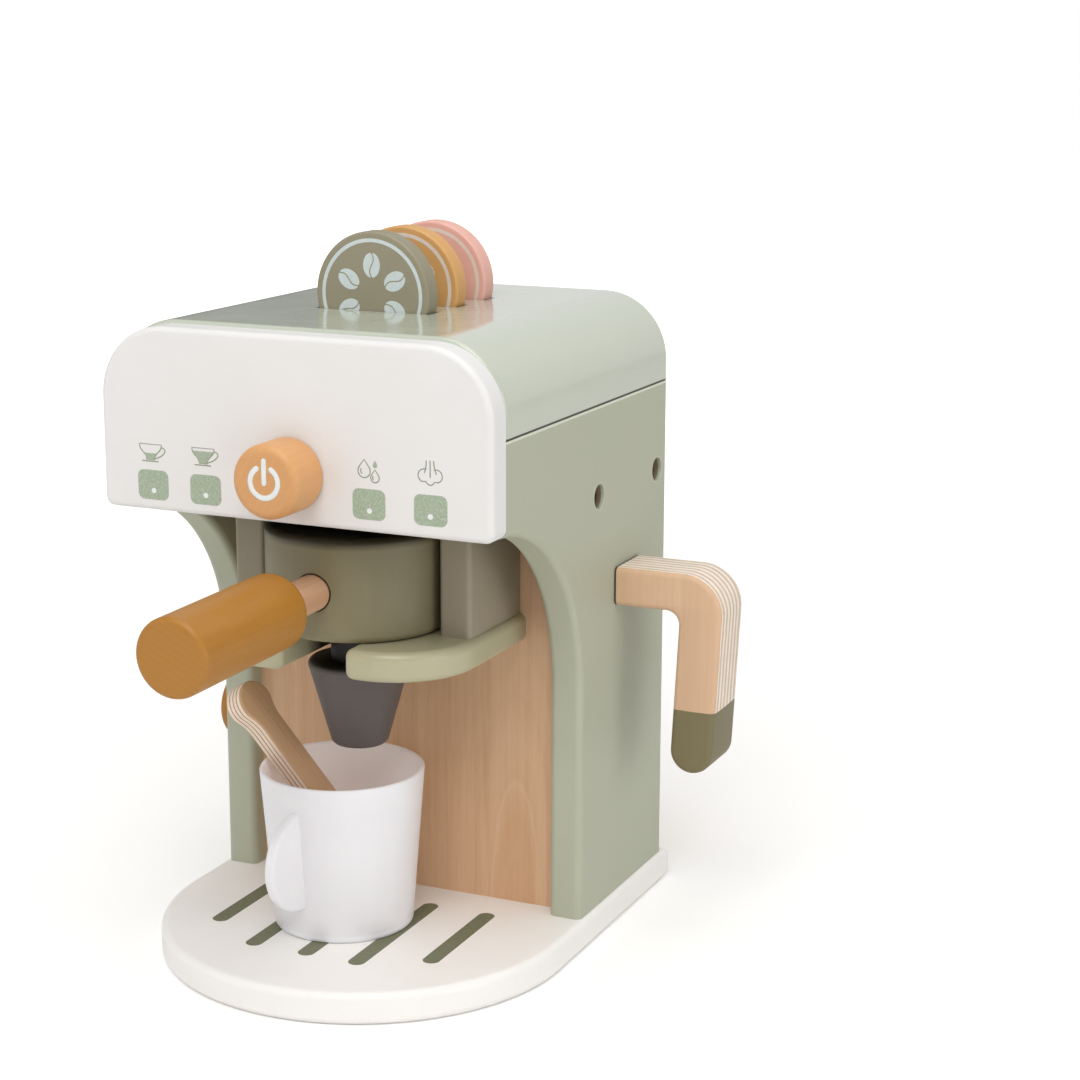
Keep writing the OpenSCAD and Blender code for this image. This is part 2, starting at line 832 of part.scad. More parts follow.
// Stirrer outline: stem from z = 0, a round end, and hollows that blend the two
module stirrer_outline() {
    w = stir_w / 2;
    b = stir_bulb_d / 2;
    c = stir_l - b;
    reach = sqrt(pow(b + stir_neck_r, 2) - pow(w + stir_neck_r, 2));
    difference() {
        union() {
            translate([-w, w]) square([2 * w, c - w]);
            translate([0, w]) circle(w);
            translate([0, c]) circle(b);
            translate([-b, c - reach]) square([2 * b, reach]);
        }
        for (side = [-1, 1]) translate([side * (w + stir_neck_r), c - reach]) circle(stir_neck_r);
    }
}

// The stirrer stands on the cup's floor and leans in the cup
module stirrer() {
    color(birch) translate([stir_right - cup_left, stir_back + cup_y, stir_up + base_t])
        rotate([0, stir_lean, stir_heading]) rotate([0, 0, stir_twist])
            translate([0, stir_t / 2, 0]) rotate([90, 0, 0])
                linear_extrude(stir_t) stirrer_outline();
}

module base_screws() {
    color(steel) base_screw_places() base_screw();
}

base_board();
side_panel_left();
side_panel_right();
column_panel();
back_panel();
head_floor();
head_cover();
pod_rack();
front_panel();
power_knob();
power_knob_axle();
power_knob_washer();
side_knob();
side_knob_axle();
side_knob_washer();
steam_arm();
steam_arm_axle();
steam_arm_washer();
post_left();
post_right();
holder_plate();
portafilter_body();
portafilter_dowel();
portafilter_handle();
portafilter_spout();
pod_olive();
pod_orange();
pod_pink();
cup();
stirrer();
side_screws();
base_screws();
cover_dowels();
panel_dowels();
holder_dowels();
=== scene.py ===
import math

import bpy
from mathutils import Matrix, Vector


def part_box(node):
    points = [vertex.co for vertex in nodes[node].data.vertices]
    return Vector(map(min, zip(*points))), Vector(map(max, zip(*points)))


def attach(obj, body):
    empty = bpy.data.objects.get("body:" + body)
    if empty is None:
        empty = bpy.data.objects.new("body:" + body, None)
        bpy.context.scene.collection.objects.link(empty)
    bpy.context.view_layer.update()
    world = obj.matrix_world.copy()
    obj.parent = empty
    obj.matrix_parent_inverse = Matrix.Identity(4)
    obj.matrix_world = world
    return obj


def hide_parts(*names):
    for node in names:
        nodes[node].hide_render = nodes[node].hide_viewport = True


mm = 0.001
noiseSpan = {1: 0.3, 2: 0.7}  # a Map Range node's From Min and From Max that most noise lies between
upright = Matrix.Rotation(math.radians(90), 4, "X")  # turns what lies flat up on edge, to look along -Y


def linear(hexColour):
    parts = [int(hexColour[i:i + 2], 16) / 255 for i in (0, 2, 4)]
    return (*[c / 12.92 if c <= 0.04045 else ((c + 0.055) / 1.055) ** 2.4 for c in parts], 1.0)


# adds a node with its settings and links; a node given for an input means its live output
def addNode(tree, kind, inputs, stops=None, **settings):
    node = tree.nodes.new("ShaderNode" + kind)
    for name, value in settings.items():
        setattr(node, name, value)
    for name, value in inputs.items():
        if isinstance(value, bpy.types.Node):
            value = next(socket for socket in value.outputs if socket.enabled)
        if isinstance(value, bpy.types.NodeSocket):
            tree.links.new(value, node.inputs[name])
        else:
            node.inputs[name].default_value = value
    if stops:
        elements = node.color_ramp.elements
        while len(elements) < len(stops):
            elements.new(0.5)
        for element, (place, colour) in zip(elements, stops):
            element.position = place
            element.color = linear(colour)
    return node


# a pattern whose marks are this many mm long along x, y and z
def addMarks(tree, kind, place, sizes, inputs):
    stretched = addNode(tree, "Mapping", {"Vector": place, "Scale": [1 / (size * mm) for size in sizes]})
    return addNode(tree, kind, {"Vector": stretched, "Scale": 1, **inputs})


# a new material, its tree, and the place on the object that its patterns read
def startMaterial(name):
    material = bpy.data.materials.new(name)
    material.use_nodes = True
    tree = material.node_tree
    tree.nodes.clear()
    return material, tree, addNode(tree, "TexCoord", {}).outputs["Object"]


def finishMaterial(material, tree, shader):
    addNode(tree, "OutputMaterial", {"Surface": shader})
    return material


def deselectAll():
    if bpy.context.object and bpy.context.object.mode != "OBJECT":
        bpy.ops.object.mode_set(mode="OBJECT")
    bpy.ops.object.select_all(action="DESELECT")


def makeActive(obj):
    deselectAll()
    obj.select_set(True)
    bpy.context.view_layer.objects.active = obj


def dress(obj, material, body):
    obj.data.materials.clear()
    obj.data.materials.append(material)
    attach(obj, body)
    return obj


# a node's lowest and highest corner at rest, in mm
def boxOf(node):
    low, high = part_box(node)
    return low / mm, high / mm


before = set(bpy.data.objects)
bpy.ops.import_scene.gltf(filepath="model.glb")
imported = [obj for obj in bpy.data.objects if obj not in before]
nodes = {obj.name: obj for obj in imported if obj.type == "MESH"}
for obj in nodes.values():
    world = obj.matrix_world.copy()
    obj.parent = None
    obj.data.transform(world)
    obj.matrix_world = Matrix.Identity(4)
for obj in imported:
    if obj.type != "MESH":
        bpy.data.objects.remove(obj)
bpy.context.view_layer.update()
print("frame loaded,", len(nodes), "nodes")

cameraSettings = {
    "lens": 78.03,
    "place": (0.4694, -0.8829, 0.4071),
    "right": (0.91225, 0.40962, 0.00325),
    "up": (-0.09411, 0.20187, 0.97488),
    "back": (0.39867, -0.88964, 0.22270),
}


def placeCamera():
    s = cameraSettings
    deselectAll()
    bpy.ops.object.camera_add(location=s["place"])
    camera = bpy.context.object
    camera.name = "camera"
    camera.data.lens = s["lens"]
    camera.data.sensor_width = 36
    camera.data.sensor_fit = "HORIZONTAL"
    camera.data.clip_start = 0.01
    axes = [Vector(s[key]) for key in ("right", "up", "back")]
    camera.matrix_world = Matrix.Translation(s["place"]) @ Matrix(axes).transposed().to_4x4()
    bpy.context.scene.camera = camera


placeCamera()


# how far a point is from an axis through middle; kept holds the directions across it
def fromAxis(tree, place, middle, kept):
    away = addNode(tree, "VectorMath", {0: place, 1: middle}, operation="SUBTRACT")
    across = addNode(tree, "VectorMath", {0: away, 1: kept}, operation="MULTIPLY")
    return addNode(tree, "VectorMath", {0: across}, operation="LENGTH")


# a second colour over tint, with one amount up to a distance low and another from high, in mm
def blend(tree, distance, low, high, amounts, tint, colour):
    amount = addNode(tree, "MapRange", {0: distance, 1: low * mm, 2: high * mm, 3: amounts[0], 4: amounts[1]})
    return addNode(tree, "Mix", {0: amount, 6: tint, 7: linear(colour)}, data_type="RGBA")


# a line with soft edges where a height or a reach passes one value, in mm
def lineAt(tree, reach, tint, at, line):
    apart = addNode(tree, "Math", {0: reach, 1: at * mm}, operation="SUBTRACT")
    apart = addNode(tree, "Math", {0: apart}, operation="ABSOLUTE")
    return blend(tree, apart, line["core"], line["fade"], (line["depth"], 0), tint, line["colour"])


# painted shade: darker where the surface comes near the upright axis that a turned piece
# stands on, for the shade where the two meet
def shadeNearAxis(tree, place, tint, axisShade):
    reach = fromAxis(tree, place, axisShade["axis"], (1, 1, 0))
    return blend(tree, reach, axisShade["from"], axisShade["to"], (axisShade["depth"], 0), tint, axisShade["colour"])


# raw wood in the bores of the side screws, below a pale rim: the paint in each bore's mouth
# and a thin ring round it are paler than the panel, a painted highlight for the lit wall and edge
def rawBores(tree, place, tint, bare):
    apart = 1.0
    for middle in bare["middles"]:
        reach = fromAxis(tree, place, middle, (0, 1, 1))
        apart = addNode(tree, "Math", {0: reach, 1: apart}, operation="MINIMUM")
    wall = bare["radius"] + 0.1
    # painted highlight: paler paint on the bore's wall near its mouth and in a ring round it
    tint = blend(tree, apart, wall, wall + bare["rimHighlightWidth"], (0.75, 0), tint, bare["rim"])
    inside = addNode(tree, "MapRange", {0: apart, 1: wall * mm, 2: (wall + 0.1) * mm, 3: 1, 4: 0})
    side = addNode(tree, "SeparateXYZ", {0: place}).outputs[0]
    side = addNode(tree, "Math", {0: side}, operation="ABSOLUTE")
    deep = addNode(tree, "MapRange", {0: side, 1: (bare["from"] - 0.5) * mm, 2: bare["from"] * mm,
                                      3: 1, 4: 0})
    raw = addNode(tree, "Math", {0: inside, 1: deep}, operation="MULTIPLY")
    return addNode(tree, "Mix", {0: raw, 6: tint, 7: linear(bare["wood"])}, data_type="RGBA")


# painted shade: the coat turns to a darker one between two heights, for the shade that falls on that part
def paintedShadeAbove(tree, place, tint, paintedShade):
    height = addNode(tree, "SeparateXYZ", {0: place}).outputs[2]
    return blend(tree, height, paintedShade["from"], paintedShade["to"], (0, 1), tint, paintedShade["colour"])


# the dark joint below the cover, over a pale line on the panel's edge that is a painted highlight
def coverJoint(tree, place, tint, seam):
    height = addNode(tree, "SeparateXYZ", {0: place}).outputs[2]
    tint = lineAt(tree, height, tint, seam["level"] - seam["edge"], seam["paleEdgeHighlight"])
    return lineAt(tree, height, tint, seam["level"], seam["dark"])


# mark sizes in the paint, in mm
paintMarks = {"cloud": 22, "fibreLong": 16, "fibreWide": 1.1, "peel": 1.6, "height": 0.1}


# Sprayed satin paint on wood: nearly even, with a faint cloudiness, a fine orange
# peel, and the grain of the board that just shows through it. rings adds the broad
# growth rings that telegraph through on turned pieces. bare, paintedShade, seam and
# axisShade are the four marks above: paintedShade and axisShade are painted shade,
# bare adds raw wood under a painted highlight, seam a dark joint over a painted highlight
def satinPaint(name, colour, grain=(0, 0, 1), roughness=0.5, coat=0.0, cloud=0.035, peel=0.16, rings=None,
               bare=None, paintedShade=None, seam=None, axisShade=None):
    s = paintMarks
    material, tree, place = startMaterial(name)
    clouds = addNode(tree, "TexNoise", {"Vector": place, "Scale": 1 / (s["cloud"] * mm),
                                        "Detail": 3, "Roughness": 0.6})
    sizes = [s["fibreLong"] if axis else s["fibreWide"] for axis in grain]
    fibres = addMarks(tree, "TexNoise", place, sizes, {"Detail": 4, "Roughness": 0.55})
    both = addNode(tree, "Mix", {0: 0.4, 2: clouds, 3: fibres})
    value = addNode(tree, "MapRange", {0: both, 1: 0.32, 2: 0.68, 3: 1 - cloud, 4: 1 + cloud})
    if rings:
        ringPlace = addNode(tree, "Mapping", {"Vector": place, "Rotation": rings["turn"]})
        wave = addNode(tree, "TexWave", {"Vector": ringPlace, "Scale": 0.314 / (rings["width"] * mm),
                                         "Distortion": 4, "Detail": 2, "Detail Scale": 0.3}).outputs["Fac"]
        ring = addNode(tree, "MapRange", {0: wave, 3: 1 - rings["depth"], 4: 1 + rings["depth"]})
        value = addNode(tree, "Math", {0: value, 1: ring}, operation="MULTIPLY")
    tint = addNode(tree, "HueSaturation", {"Value": value, "Color": linear(colour)})
    for mark, drawMark in ((bare, rawBores), (paintedShade, paintedShadeAbove), (seam, coverJoint), (axisShade, shadeNearAxis)):
        if mark:
            tint = drawMark(tree, place, tint, mark)
    skin = addNode(tree, "TexNoise", {"Vector": place, "Scale": 1 / (s["peel"] * mm), "Detail": 2})
    raised = addNode(tree, "Bump", {"Height": skin, "Strength": peel, "Distance": s["height"] * mm})
    grained = addNode(tree, "Bump", {"Height": fibres, "Strength": peel * 0.9, "Distance": s["height"] * mm,
                                     "Normal": raised})
    rough = addNode(tree, "MapRange", {0: clouds, **noiseSpan, 3: roughness - 0.05, 4: roughness + 0.06})
    shader = addNode(tree, "BsdfPrincipled", {"Base Color": tint, "Roughness": rough, "Normal": grained,
                                              "Coat Weight": coat, "Coat Roughness": 0.12, "IOR": 1.48})
    return finishMaterial(material, tree, shader)


# mark sizes in beech, in mm along x, y and z, with the grain along z
beechMarks = {"streak": (8, 8, 300), "fibre": (1.5, 1.5, 60), "pore": (0.5, 0.5, 9), "fleck": (1.1, 1.1, 4.5),
              "fleckGroup": 8, "bend": 45}


# Beech under matt lacquer: soft streaks along the grain, fine pores and the short
# dark flecks that beech is known by. arch adds the tall arch that the growth rings
# draw on a flat-sawn veneer, with a thin pale line on it
def lacqueredBeech(name, light, middle, dark, turn=(0, 0, 0), arch=None, axisShade=None):
    s = beechMarks
    material, tree, place = startMaterial(name)
    turned = addNode(tree, "Mapping", {"Vector": place, "Rotation": turn})
    streaks = addMarks(tree, "TexNoise", turned, s["streak"], {"Detail": 2})
    fibres = addMarks(tree, "TexNoise", turned, s["fibre"], {"Detail": 3, "Roughness": 0.6})
    pores = addMarks(tree, "TexNoise", turned, s["pore"], {"Detail": 3, "Roughness": 0.65})
    broad = addNode(tree, "Mix", {0: 0.4, 2: streaks, 3: fibres})
    figure = addNode(tree, "Mix", {0: 0.22, 2: broad, 3: pores})
    if arch:
        wander = addNode(tree, "TexNoise", {"Vector": turned, "Scale": 1 / (s["bend"] * mm), "Detail": 1})
        bent = addNode(tree, "Mix", {0: 0.004, 4: turned, 5: wander.outputs["Color"]}, data_type="VECTOR")
        reach = fromAxis(tree, bent, arch["middle"], (1, 0, 1 / arch["tall"]))
        ringReach = addNode(tree, "Math", {0: reach, 1: 1 / (arch["spacing"] * mm)}, operation="MULTIPLY")
        rings = addNode(tree, "TexNoise", {"W": ringReach, "Scale": 1, "Detail": 1}, noise_dimensions="1D")
        near = addNode(tree, "MapRange", {0: reach, 1: arch["near"] * mm, 2: arch["far"] * mm,
                                          3: arch["depth"], 4: arch["depth"] * 0.3})
        figure = addNode(tree, "Mix", {0: near, 2: figure, 3: rings})
    wood = addNode(tree, "ValToRGB", {"Fac": figure}, stops=[(0.3, dark), (0.5, middle), (0.7, light)])
    if arch:
        wood = blend(tree, reach, arch["radius"] - 3, arch["radius"], (0.35, 0), wood, arch["heart"])
        wood = lineAt(tree, reach, wood, arch["radius"], arch["line"])
    flecks = addMarks(tree, "TexVoronoi", turned, s["fleck"], {})
    fleck = addNode(tree, "MapRange", {0: flecks, 1: 0.10, 2: 0.26, 3: 0.22, 4: 0})
    scatter = addNode(tree, "TexNoise", {"Vector": turned, "Scale": 1 / (s["fleckGroup"] * mm), "Detail": 1})
    some = addNode(tree, "MapRange", {0: scatter, 1: 0.5, 2: 0.6, 3: 0, 4: 1})
    amount = addNode(tree, "Math", {0: fleck, 1: some}, operation="MULTIPLY")
    colour = addNode(tree, "Mix", {0: amount, 6: wood, 7: linear(dark)}, data_type="RGBA")
    # painted shade where the dowel goes into the body
    if axisShade:
        colour = shadeNearAxis(tree, place, colour, axisShade)
    dents = addNode(tree, "Bump", {"Height": pores, "Strength": 0.22, "Distance": 0.1 * mm})
    shader = addNode(tree, "BsdfPrincipled", {"Base Color": colour, "Roughness": 0.56, "Normal": dents,
                                              "IOR": 1.46})
    return finishMaterial(material, tree, shader)


# mark sizes in the plywood, in mm; the grain runs along the board's own y
plyMarks = {"waver": 16, "waverBy": 0.16, "speckle": 1.1, "streak": (9, 9, 2.5), "grain": (1.6, 60, 1.6),
            "band": (9, 170, 9), "knot": (7, 12, 7), "knotColour": "6d5540"}


# olive paint that the tip was dipped in, and a dark line at the root where the arm meets
# the panel, painted shade in that joint
def dippedTip(tree, place, waver, colour, dip):
    height = addNode(tree, "SeparateXYZ", {0: place}).outputs[2]
    wobble = addNode(tree, "MapRange", {0: waver, **noiseSpan, 3: -dip["wobble"] * mm,
                                        4: dip["wobble"] * mm})
    level = addNode(tree, "Math", {0: height, 1: wobble}, operation="ADD")
    colour = blend(tree, level, dip["level"] - 0.08, dip["level"] + 0.08, (1, 0), colour, dip["colour"])
    side = addNode(tree, "SeparateXYZ", {0: place}).outputs[0]
    # painted shade: a dark line along the arm's root, where it meets the panel
    return blend(tree, side, dip["root"], dip["root"] + 0.3, (1, 0), colour, dip["seam"])


# Birch multi-ply, sanded and oiled: a pale face veneer, and on the edges thin light
# layers cut along their fibres between brown layers cut across them. board gives the
# middle of the board, its turn (its own z is its thickness, its own y the grain),
# and the pitch and width of its light layers
def birchPly(name, board, dip=None):
    s = plyMarks
    material, tree, place = startMaterial(name)
    own = addNode(tree, "Mapping", {"Vector": place, "Location": board["middle"], "Rotation": board["turn"]},
                  vector_type="TEXTURE")
    waver = addNode(tree, "TexNoise", {"Vector": own, "Scale": 1 / (s["waver"] * mm), "Detail": 2})
    shift = addNode(tree, "MapRange", {0: waver, **noiseSpan, 3: -s["waverBy"] * mm, 4: s["waverBy"] * mm})
    depth = addNode(tree, "SeparateXYZ", {0: own}).outputs[2]
    bent = addNode(tree, "Math", {0: depth, 1: shift}, operation="ADD")
    step = addNode(tree, "Math", {0: bent, 1: 1 / (board["pitch"] * mm)}, operation="MULTIPLY")
    step = addNode(tree, "Math", {0: step, 1: board["shift"]}, operation="ADD")
    phase = addNode(tree, "Math", {0: step, 1: 1.0}, operation="PINGPONG")
    half = board["light"] / board["pitch"]
    stripes = addNode(tree, "ValToRGB", {"Fac": phase}, stops=[
        (0.0, board["pale"]), (half - 0.05, board["pale"]), (half + 0.05, board["seam"]),
        (half + 0.16, board["brown"]), (1.0, board["brown"])])
    speckle = addNode(tree, "TexNoise", {"Vector": own, "Scale": 1 / (s["speckle"] * mm), "Detail": 3})
    streak = addMarks(tree, "TexNoise", own, s["streak"], {"Detail": 2})
    uneven = addNode(tree, "Mix", {0: 0.5, 2: speckle, 3: streak})
    speck = addNode(tree, "MapRange", {0: uneven, 1: 0.32, 2: 0.68, 3: 0.88, 4: 1.1})
    edge = addNode(tree, "HueSaturation", {"Value": speck, "Color": stripes})
    grain = addMarks(tree, "TexNoise", own, s["grain"], {"Detail": 4, "Roughness": 0.6})
    bands = addMarks(tree, "TexNoise", own, s["band"], {"Detail": 2})
    figure = addNode(tree, "Mix", {0: 0.62, 2: grain, 3: bands})
    face = addNode(tree, "ValToRGB", {"Fac": figure}, stops=[
        (0.28, board["faceDark"]), (0.5, board["face"]), (0.72, board["faceLight"])])
    knots = addMarks(tree, "TexVoronoi", own, s["knot"], {})
    knot = addNode(tree, "MapRange", {0: knots, 1: 0.03, 2: 0.07, 3: 0.45, 4: 0})
    face = addNode(tree, "Mix", {0: knot, 6: face, 7: linear(s["knotColour"])}, data_type="RGBA")
    away = addNode(tree, "Math", {0: bent}, operation="ABSOLUTE")
    skin = board["thickness"] / 2 - board["veneer"]
    onFace = addNode(tree, "MapRange", {0: away, 1: (skin - 0.1) * mm, 2: (skin + 0.1) * mm, 3: 0, 4: 1})
    colour = addNode(tree, "Mix", {0: onFace, 6: edge, 7: face}, data_type="RGBA")
    if dip:
        colour = dippedTip(tree, place, waver, colour, dip)
    dents = addNode(tree, "Bump", {"Height": grain, "Strength": 0.2, "Distance": 0.1 * mm})
    shader = addNode(tree, "BsdfPrincipled", {"Base Color": colour, "Roughness": 0.5, "Normal": dents,
                                              "IOR": 1.46})
    return finishMaterial(material, tree, shader)


# Moulded white plastic: smooth and faintly rippled. Light passes through the thin
# wall; besides, the cup's inside, within the cone that glow gives, has a faint warm
# emission, a painted glow that lightens it
def mouldedPlastic(name, colour, through, glow):
    material, tree, place = startMaterial(name)
    clouds = addNode(tree, "TexNoise", {"Vector": place, "Scale": 1 / (17 * mm), "Detail": 2})
    spread = addNode(tree, "MapRange", {0: clouds, **noiseSpan, 3: 0.985, 4: 1.01})
    tint = addNode(tree, "HueSaturation", {"Value": spread, "Color": linear(colour)})
    ripple = addNode(tree, "TexNoise", {"Vector": place, "Scale": 1 / (4 * mm), "Detail": 1})
    bump = addNode(tree, "Bump", {"Height": ripple, "Strength": 0.05, "Distance": 0.1 * mm})
    reach = fromAxis(tree, place, glow["middle"], (1, 1, 0))
    height = addNode(tree, "SeparateXYZ", {0: place}).outputs[2]
    wall = addNode(tree, "MapRange", {0: height, 1: glow["low"][0] * mm, 2: glow["high"][0] * mm,
                                      3: glow["low"][1] * mm, 4: glow["high"][1] * mm})
    within = addNode(tree, "Math", {0: reach, 1: wall}, operation="LESS_THAN")
    above = addNode(tree, "Math", {0: height, 1: glow["low"][0] * mm}, operation="GREATER_THAN")
    paintedGlow = addNode(tree, "Math", {0: within, 1: above}, operation="MULTIPLY")
    paintedGlow = addNode(tree, "Math", {0: paintedGlow, 1: glow["strength"]}, operation="MULTIPLY")
    rough = addNode(tree, "MapRange", {0: clouds, **noiseSpan, 3: 0.34, 4: 0.42})
    shader = addNode(tree, "BsdfPrincipled", {
        "Base Color": tint, "Roughness": rough, "Normal": bump, "IOR": 1.5,
        "Emission Color": linear(glow["colour"]), "Emission Strength": paintedGlow,
        "Subsurface Weight": 0.3, "Subsurface Radius": (0.006, 0.005, 0.0045), "Subsurface Scale": 1.0})
    lit = addNode(tree, "BsdfTranslucent", {"Color": linear("fbf1ec"), "Normal": bump})
    return finishMaterial(material, tree, addNode(tree, "MixShader", {0: through, 1: shader, 2: lit}))


# Plated steel: small changes of tone and gloss
def platedSteel(name, dark, light):
    material, tree, place = startMaterial(name)
    spots = addNode(tree, "TexNoise", {"Vector": place, "Scale": 1 / (1.1 * mm), "Detail": 3})
    tint = addNode(tree, "ValToRGB", {"Fac": spots}, stops=[(0.3, dark), (0.7, light)])
    rough = addNode(tree, "MapRange", {0: spots, **noiseSpan, 3: 0.28, 4: 0.42})
    bump = addNode(tree, "Bump", {"Height": spots, "Strength": 0.1, "Distance": 0.05 * mm})
    shader = addNode(tree, "BsdfPrincipled", {"Base Color": tint, "Metallic": 1.0, "Roughness": rough,
                                              "Normal": bump})
    return finishMaterial(material, tree, shader)


# Screen-printed ink: flat and matt, in short upright strokes where the screen laid
# less of it. size is a stroke's width in mm
def screenInk(name, colour, thinner, patchy=0.3, size=1.1):
    material, tree, place = startMaterial(name)
    patches = addMarks(tree, "TexNoise", place, (size, size, size * 2.4), {"Detail": 3, "Roughness": 0.7})
    cover = addNode(tree, "MapRange", {0: patches, 1: 0.42, 2: 0.68, 3: 0, 4: patchy})
    tint = addNode(tree, "Mix", {0: cover, 6: linear(colour), 7: linear(thinner)}, data_type="RGBA")
    bump = addNode(tree, "Bump", {"Height": patches, "Strength": 0.12, "Distance": 0.05 * mm})
    shader = addNode(tree, "BsdfPrincipled", {"Base Color": tint, "Roughness": 0.62, "Normal": bump,
                                              "IOR": 1.46})
    return finishMaterial(material, tree, shader)


# where the bores of the side screws cut through the side panels
screwLow, screwHigh = boxOf("side_screws")
bore = {"radius": 5.5, "screwRadius": 4.3}  # the plain screw heads in them give the bores' places
boreZ = (screwLow.z + screwHigh.z) / 2 * mm
boreMiddles = [(0, (screwLow.y + bore["screwRadius"]) * mm, boreZ),
               (0, (screwHigh.y - bore["screwRadius"]) * mm, boreZ)]
# the joint's dark line, and a pale line below it on the panel's edge that is a painted highlight
coverSeam = {"level": boxOf("head_cover")[0].z, "edge": 1.2,
             "paleEdgeHighlight": {"core": 0.2, "fade": 0.6, "depth": 0.85, "colour": "e2e4d4"},
             "dark": {"core": 0.25, "fade": 0.55, "depth": 0.95, "colour": "2b2416"}}
turnedRings = {"turn": (0, math.radians(62), 0), "width": 2.9, "depth": 0.018}
knobRings = {"turn": (0, math.radians(-30), 0), "width": 3.1, "depth": 0.012}

# the upright axis of the spout and the portafilter's body
spoutLow, spoutHigh = boxOf("portafilter_spout")
brewLow, brewHigh = boxOf("portafilter_body")
brewAxis = ((spoutLow.x + spoutHigh.x) / 2 * mm, (spoutLow.y + spoutHigh.y) / 2 * mm, 0)
brewRadius = (brewHigh.x - brewLow.x) / 2
# painted shade round the spout's neck on the holder, and on the dowel where it meets the body
neckShade = {"axis": brewAxis, "from": 15.5, "to": 24, "depth": 0.9, "colour": "24221a"}
dowelShade = {"axis": brewAxis, "from": brewRadius, "to": brewRadius + 0.7, "depth": 0.8, "colour": "2e2219"}

whitePaint = satinPaint("white satin paint", "e6e4e2", grain=(1, 0, 0), roughness=0.42, cloud=0.012)
basePaint = satinPaint("white satin paint on the base", "f8f5f1", grain=(0, 1, 0), roughness=0.42,
                       cloud=0.012)
# the sage also carries the bores' painted highlight and raw wood, and the cover's joint
sagePaint = satinPaint("sage satin paint", "b2b5a0", roughness=0.46, cloud=0.02, seam=coverSeam,
                       bare={"middles": boreMiddles, "radius": bore["radius"], "rimHighlightWidth": 0.7, "from": 88.8,
                             "wood": "94856c", "rim": "c6cab8"})
lidLacquer = satinPaint("sage gloss lacquer", "c0c6b6", grain=(1, 0, 0), roughness=0.16, coat=0.6,
                        cloud=0.008, peel=0.002, seam=coverSeam)
taupePaint = satinPaint("taupe satin paint", "9c927e")
# painted shade: the holder turns dark round the spout's neck
platePaint = satinPaint("sage satin paint on the holder", "b4af90", grain=(1, 0, 0), roughness=0.34,
                        coat=0.25, axisShade=neckShade)
# painted shade: the body turns dark at its top, where it stands in the shade under the head
bodyPaint = satinPaint("olive taupe satin paint", "7f775a", roughness=0.46,
                       paintedShade={"from": 188.2, "to": 191.5, "colour": "38321f"})
mustardPaint = satinPaint("mustard satin paint", "ad7629", grain=(0, 1, 0), roughness=0.42, cloud=0.03,
                          rings=turnedRings)
apricotPaint = satinPaint("apricot satin paint", "d59e67", grain=(0, 1, 0), roughness=0.44, rings=knobRings)
olivePaint = satinPaint("olive satin paint", "958e77", grain=(1, 0, 0))
orangePaint = satinPaint("orange satin paint", "d6a365", grain=(1, 0, 0))
pinkPaint = satinPaint("pink satin paint", "e6b2a5", grain=(1, 0, 0))
# painted shade: the board under the head is made dark so that the space under it stays in shadow
underHeadShadePaint = satinPaint("dark paint under the head for painted shade", "463c33", grain=(1, 0, 0), roughness=0.6)
# painted shade: the spout turns near-black at its top, in the shade under the holder and the body
slatePaint = satinPaint("slate satin paint", "5b5452", grain=(1, 1, 0), cloud=0.06,
                        paintedShade={"from": 131.2, "to": 132.4, "colour": "1d1815"})

columnArch = {"middle": (0.056, 0.017, 0.014), "tall": 4.9, "radius": 11.6, "spacing": 3.6, "depth": 0.2,
              "near": 14, "far": 34, "heart": "cf9b70",
              "line": {"core": 0.15, "fade": 0.6, "depth": 0.3, "colour": "e6c4a4"}}
lyingGrain = (math.radians(90), 0, 0)
columnVeneer = lacqueredBeech("beech veneer", "e6c19d", "dcb48f", "cda27c", arch=columnArch)
turnedBeech = lacqueredBeech("turned beech", "d8ae8d", "cb9f7c", "b88a67", turn=lyingGrain)
# painted shade: this beech turns dark where the dowel meets the body
dowelBeech = lacqueredBeech("turned beech of the dowel", "d8ae8d", "cb9f7c", "b88a67", turn=lyingGrain,
                            axisShade=dowelShade)

# the arm's board stands across the machine, the stirrer's leans in the cup, the rack's lies flat
armLow, armHigh = boxOf("steam_arm")
rackLow, rackHigh = boxOf("pod_rack")
stirrer = {"foot": (11.0, -15.5, 19.2), "lean": 34.7, "heading": 204, "twist": 58,
           "long": 119.5, "wide": 12.8, "thick": 10.2, "bulb": 9.25, "neck": 22, "soft": 1.3}
stirrerTurn = (Matrix.Rotation(math.radians(stirrer["heading"]), 4, "Z")
               @ Matrix.Rotation(math.radians(stirrer["lean"]), 4, "Y")
               @ Matrix.Rotation(math.radians(stirrer["twist"]), 4, "Z")
               @ upright)
armBoard = {"middle": (0, (armLow.y + armHigh.y) / 2 * mm, 0), "turn": (math.radians(-90), 0, 0),
            "thickness": armHigh.y - armLow.y, "veneer": 2.0, "pitch": 2.08, "light": 1.15, "shift": 0,
            "pale": "f4e7d8", "seam": "c9b09a", "brown": "d2bba6",
            "faceDark": "cda886", "face": "d5b08f", "faceLight": "dcb897"}
stirrerBoard = {"middle": Vector(stirrer["foot"]) * mm, "turn": stirrerTurn.to_euler(),
                "thickness": stirrer["thick"], "veneer": 0.9, "pitch": 1.15, "light": 0.85, "shift": 1,
                "pale": "f0dcc8", "seam": "c5a78c", "brown": "91704f",
                "faceDark": "ba926c", "face": "cca57f", "faceLight": "d8b28d"}
rackBoard = {"middle": (0, 0, (rackLow.z + rackHigh.z) / 2 * mm), "turn": (0, 0, 0),
             "thickness": 12, "veneer": 0.9, "pitch": 1.5, "light": 0.55, "shift": 0,
             "pale": "ecdac6", "seam": "a08870", "brown": "bda68f",
             "faceDark": "cba37f", "face": "dcb896", "faceLight": "e6c7a9"}
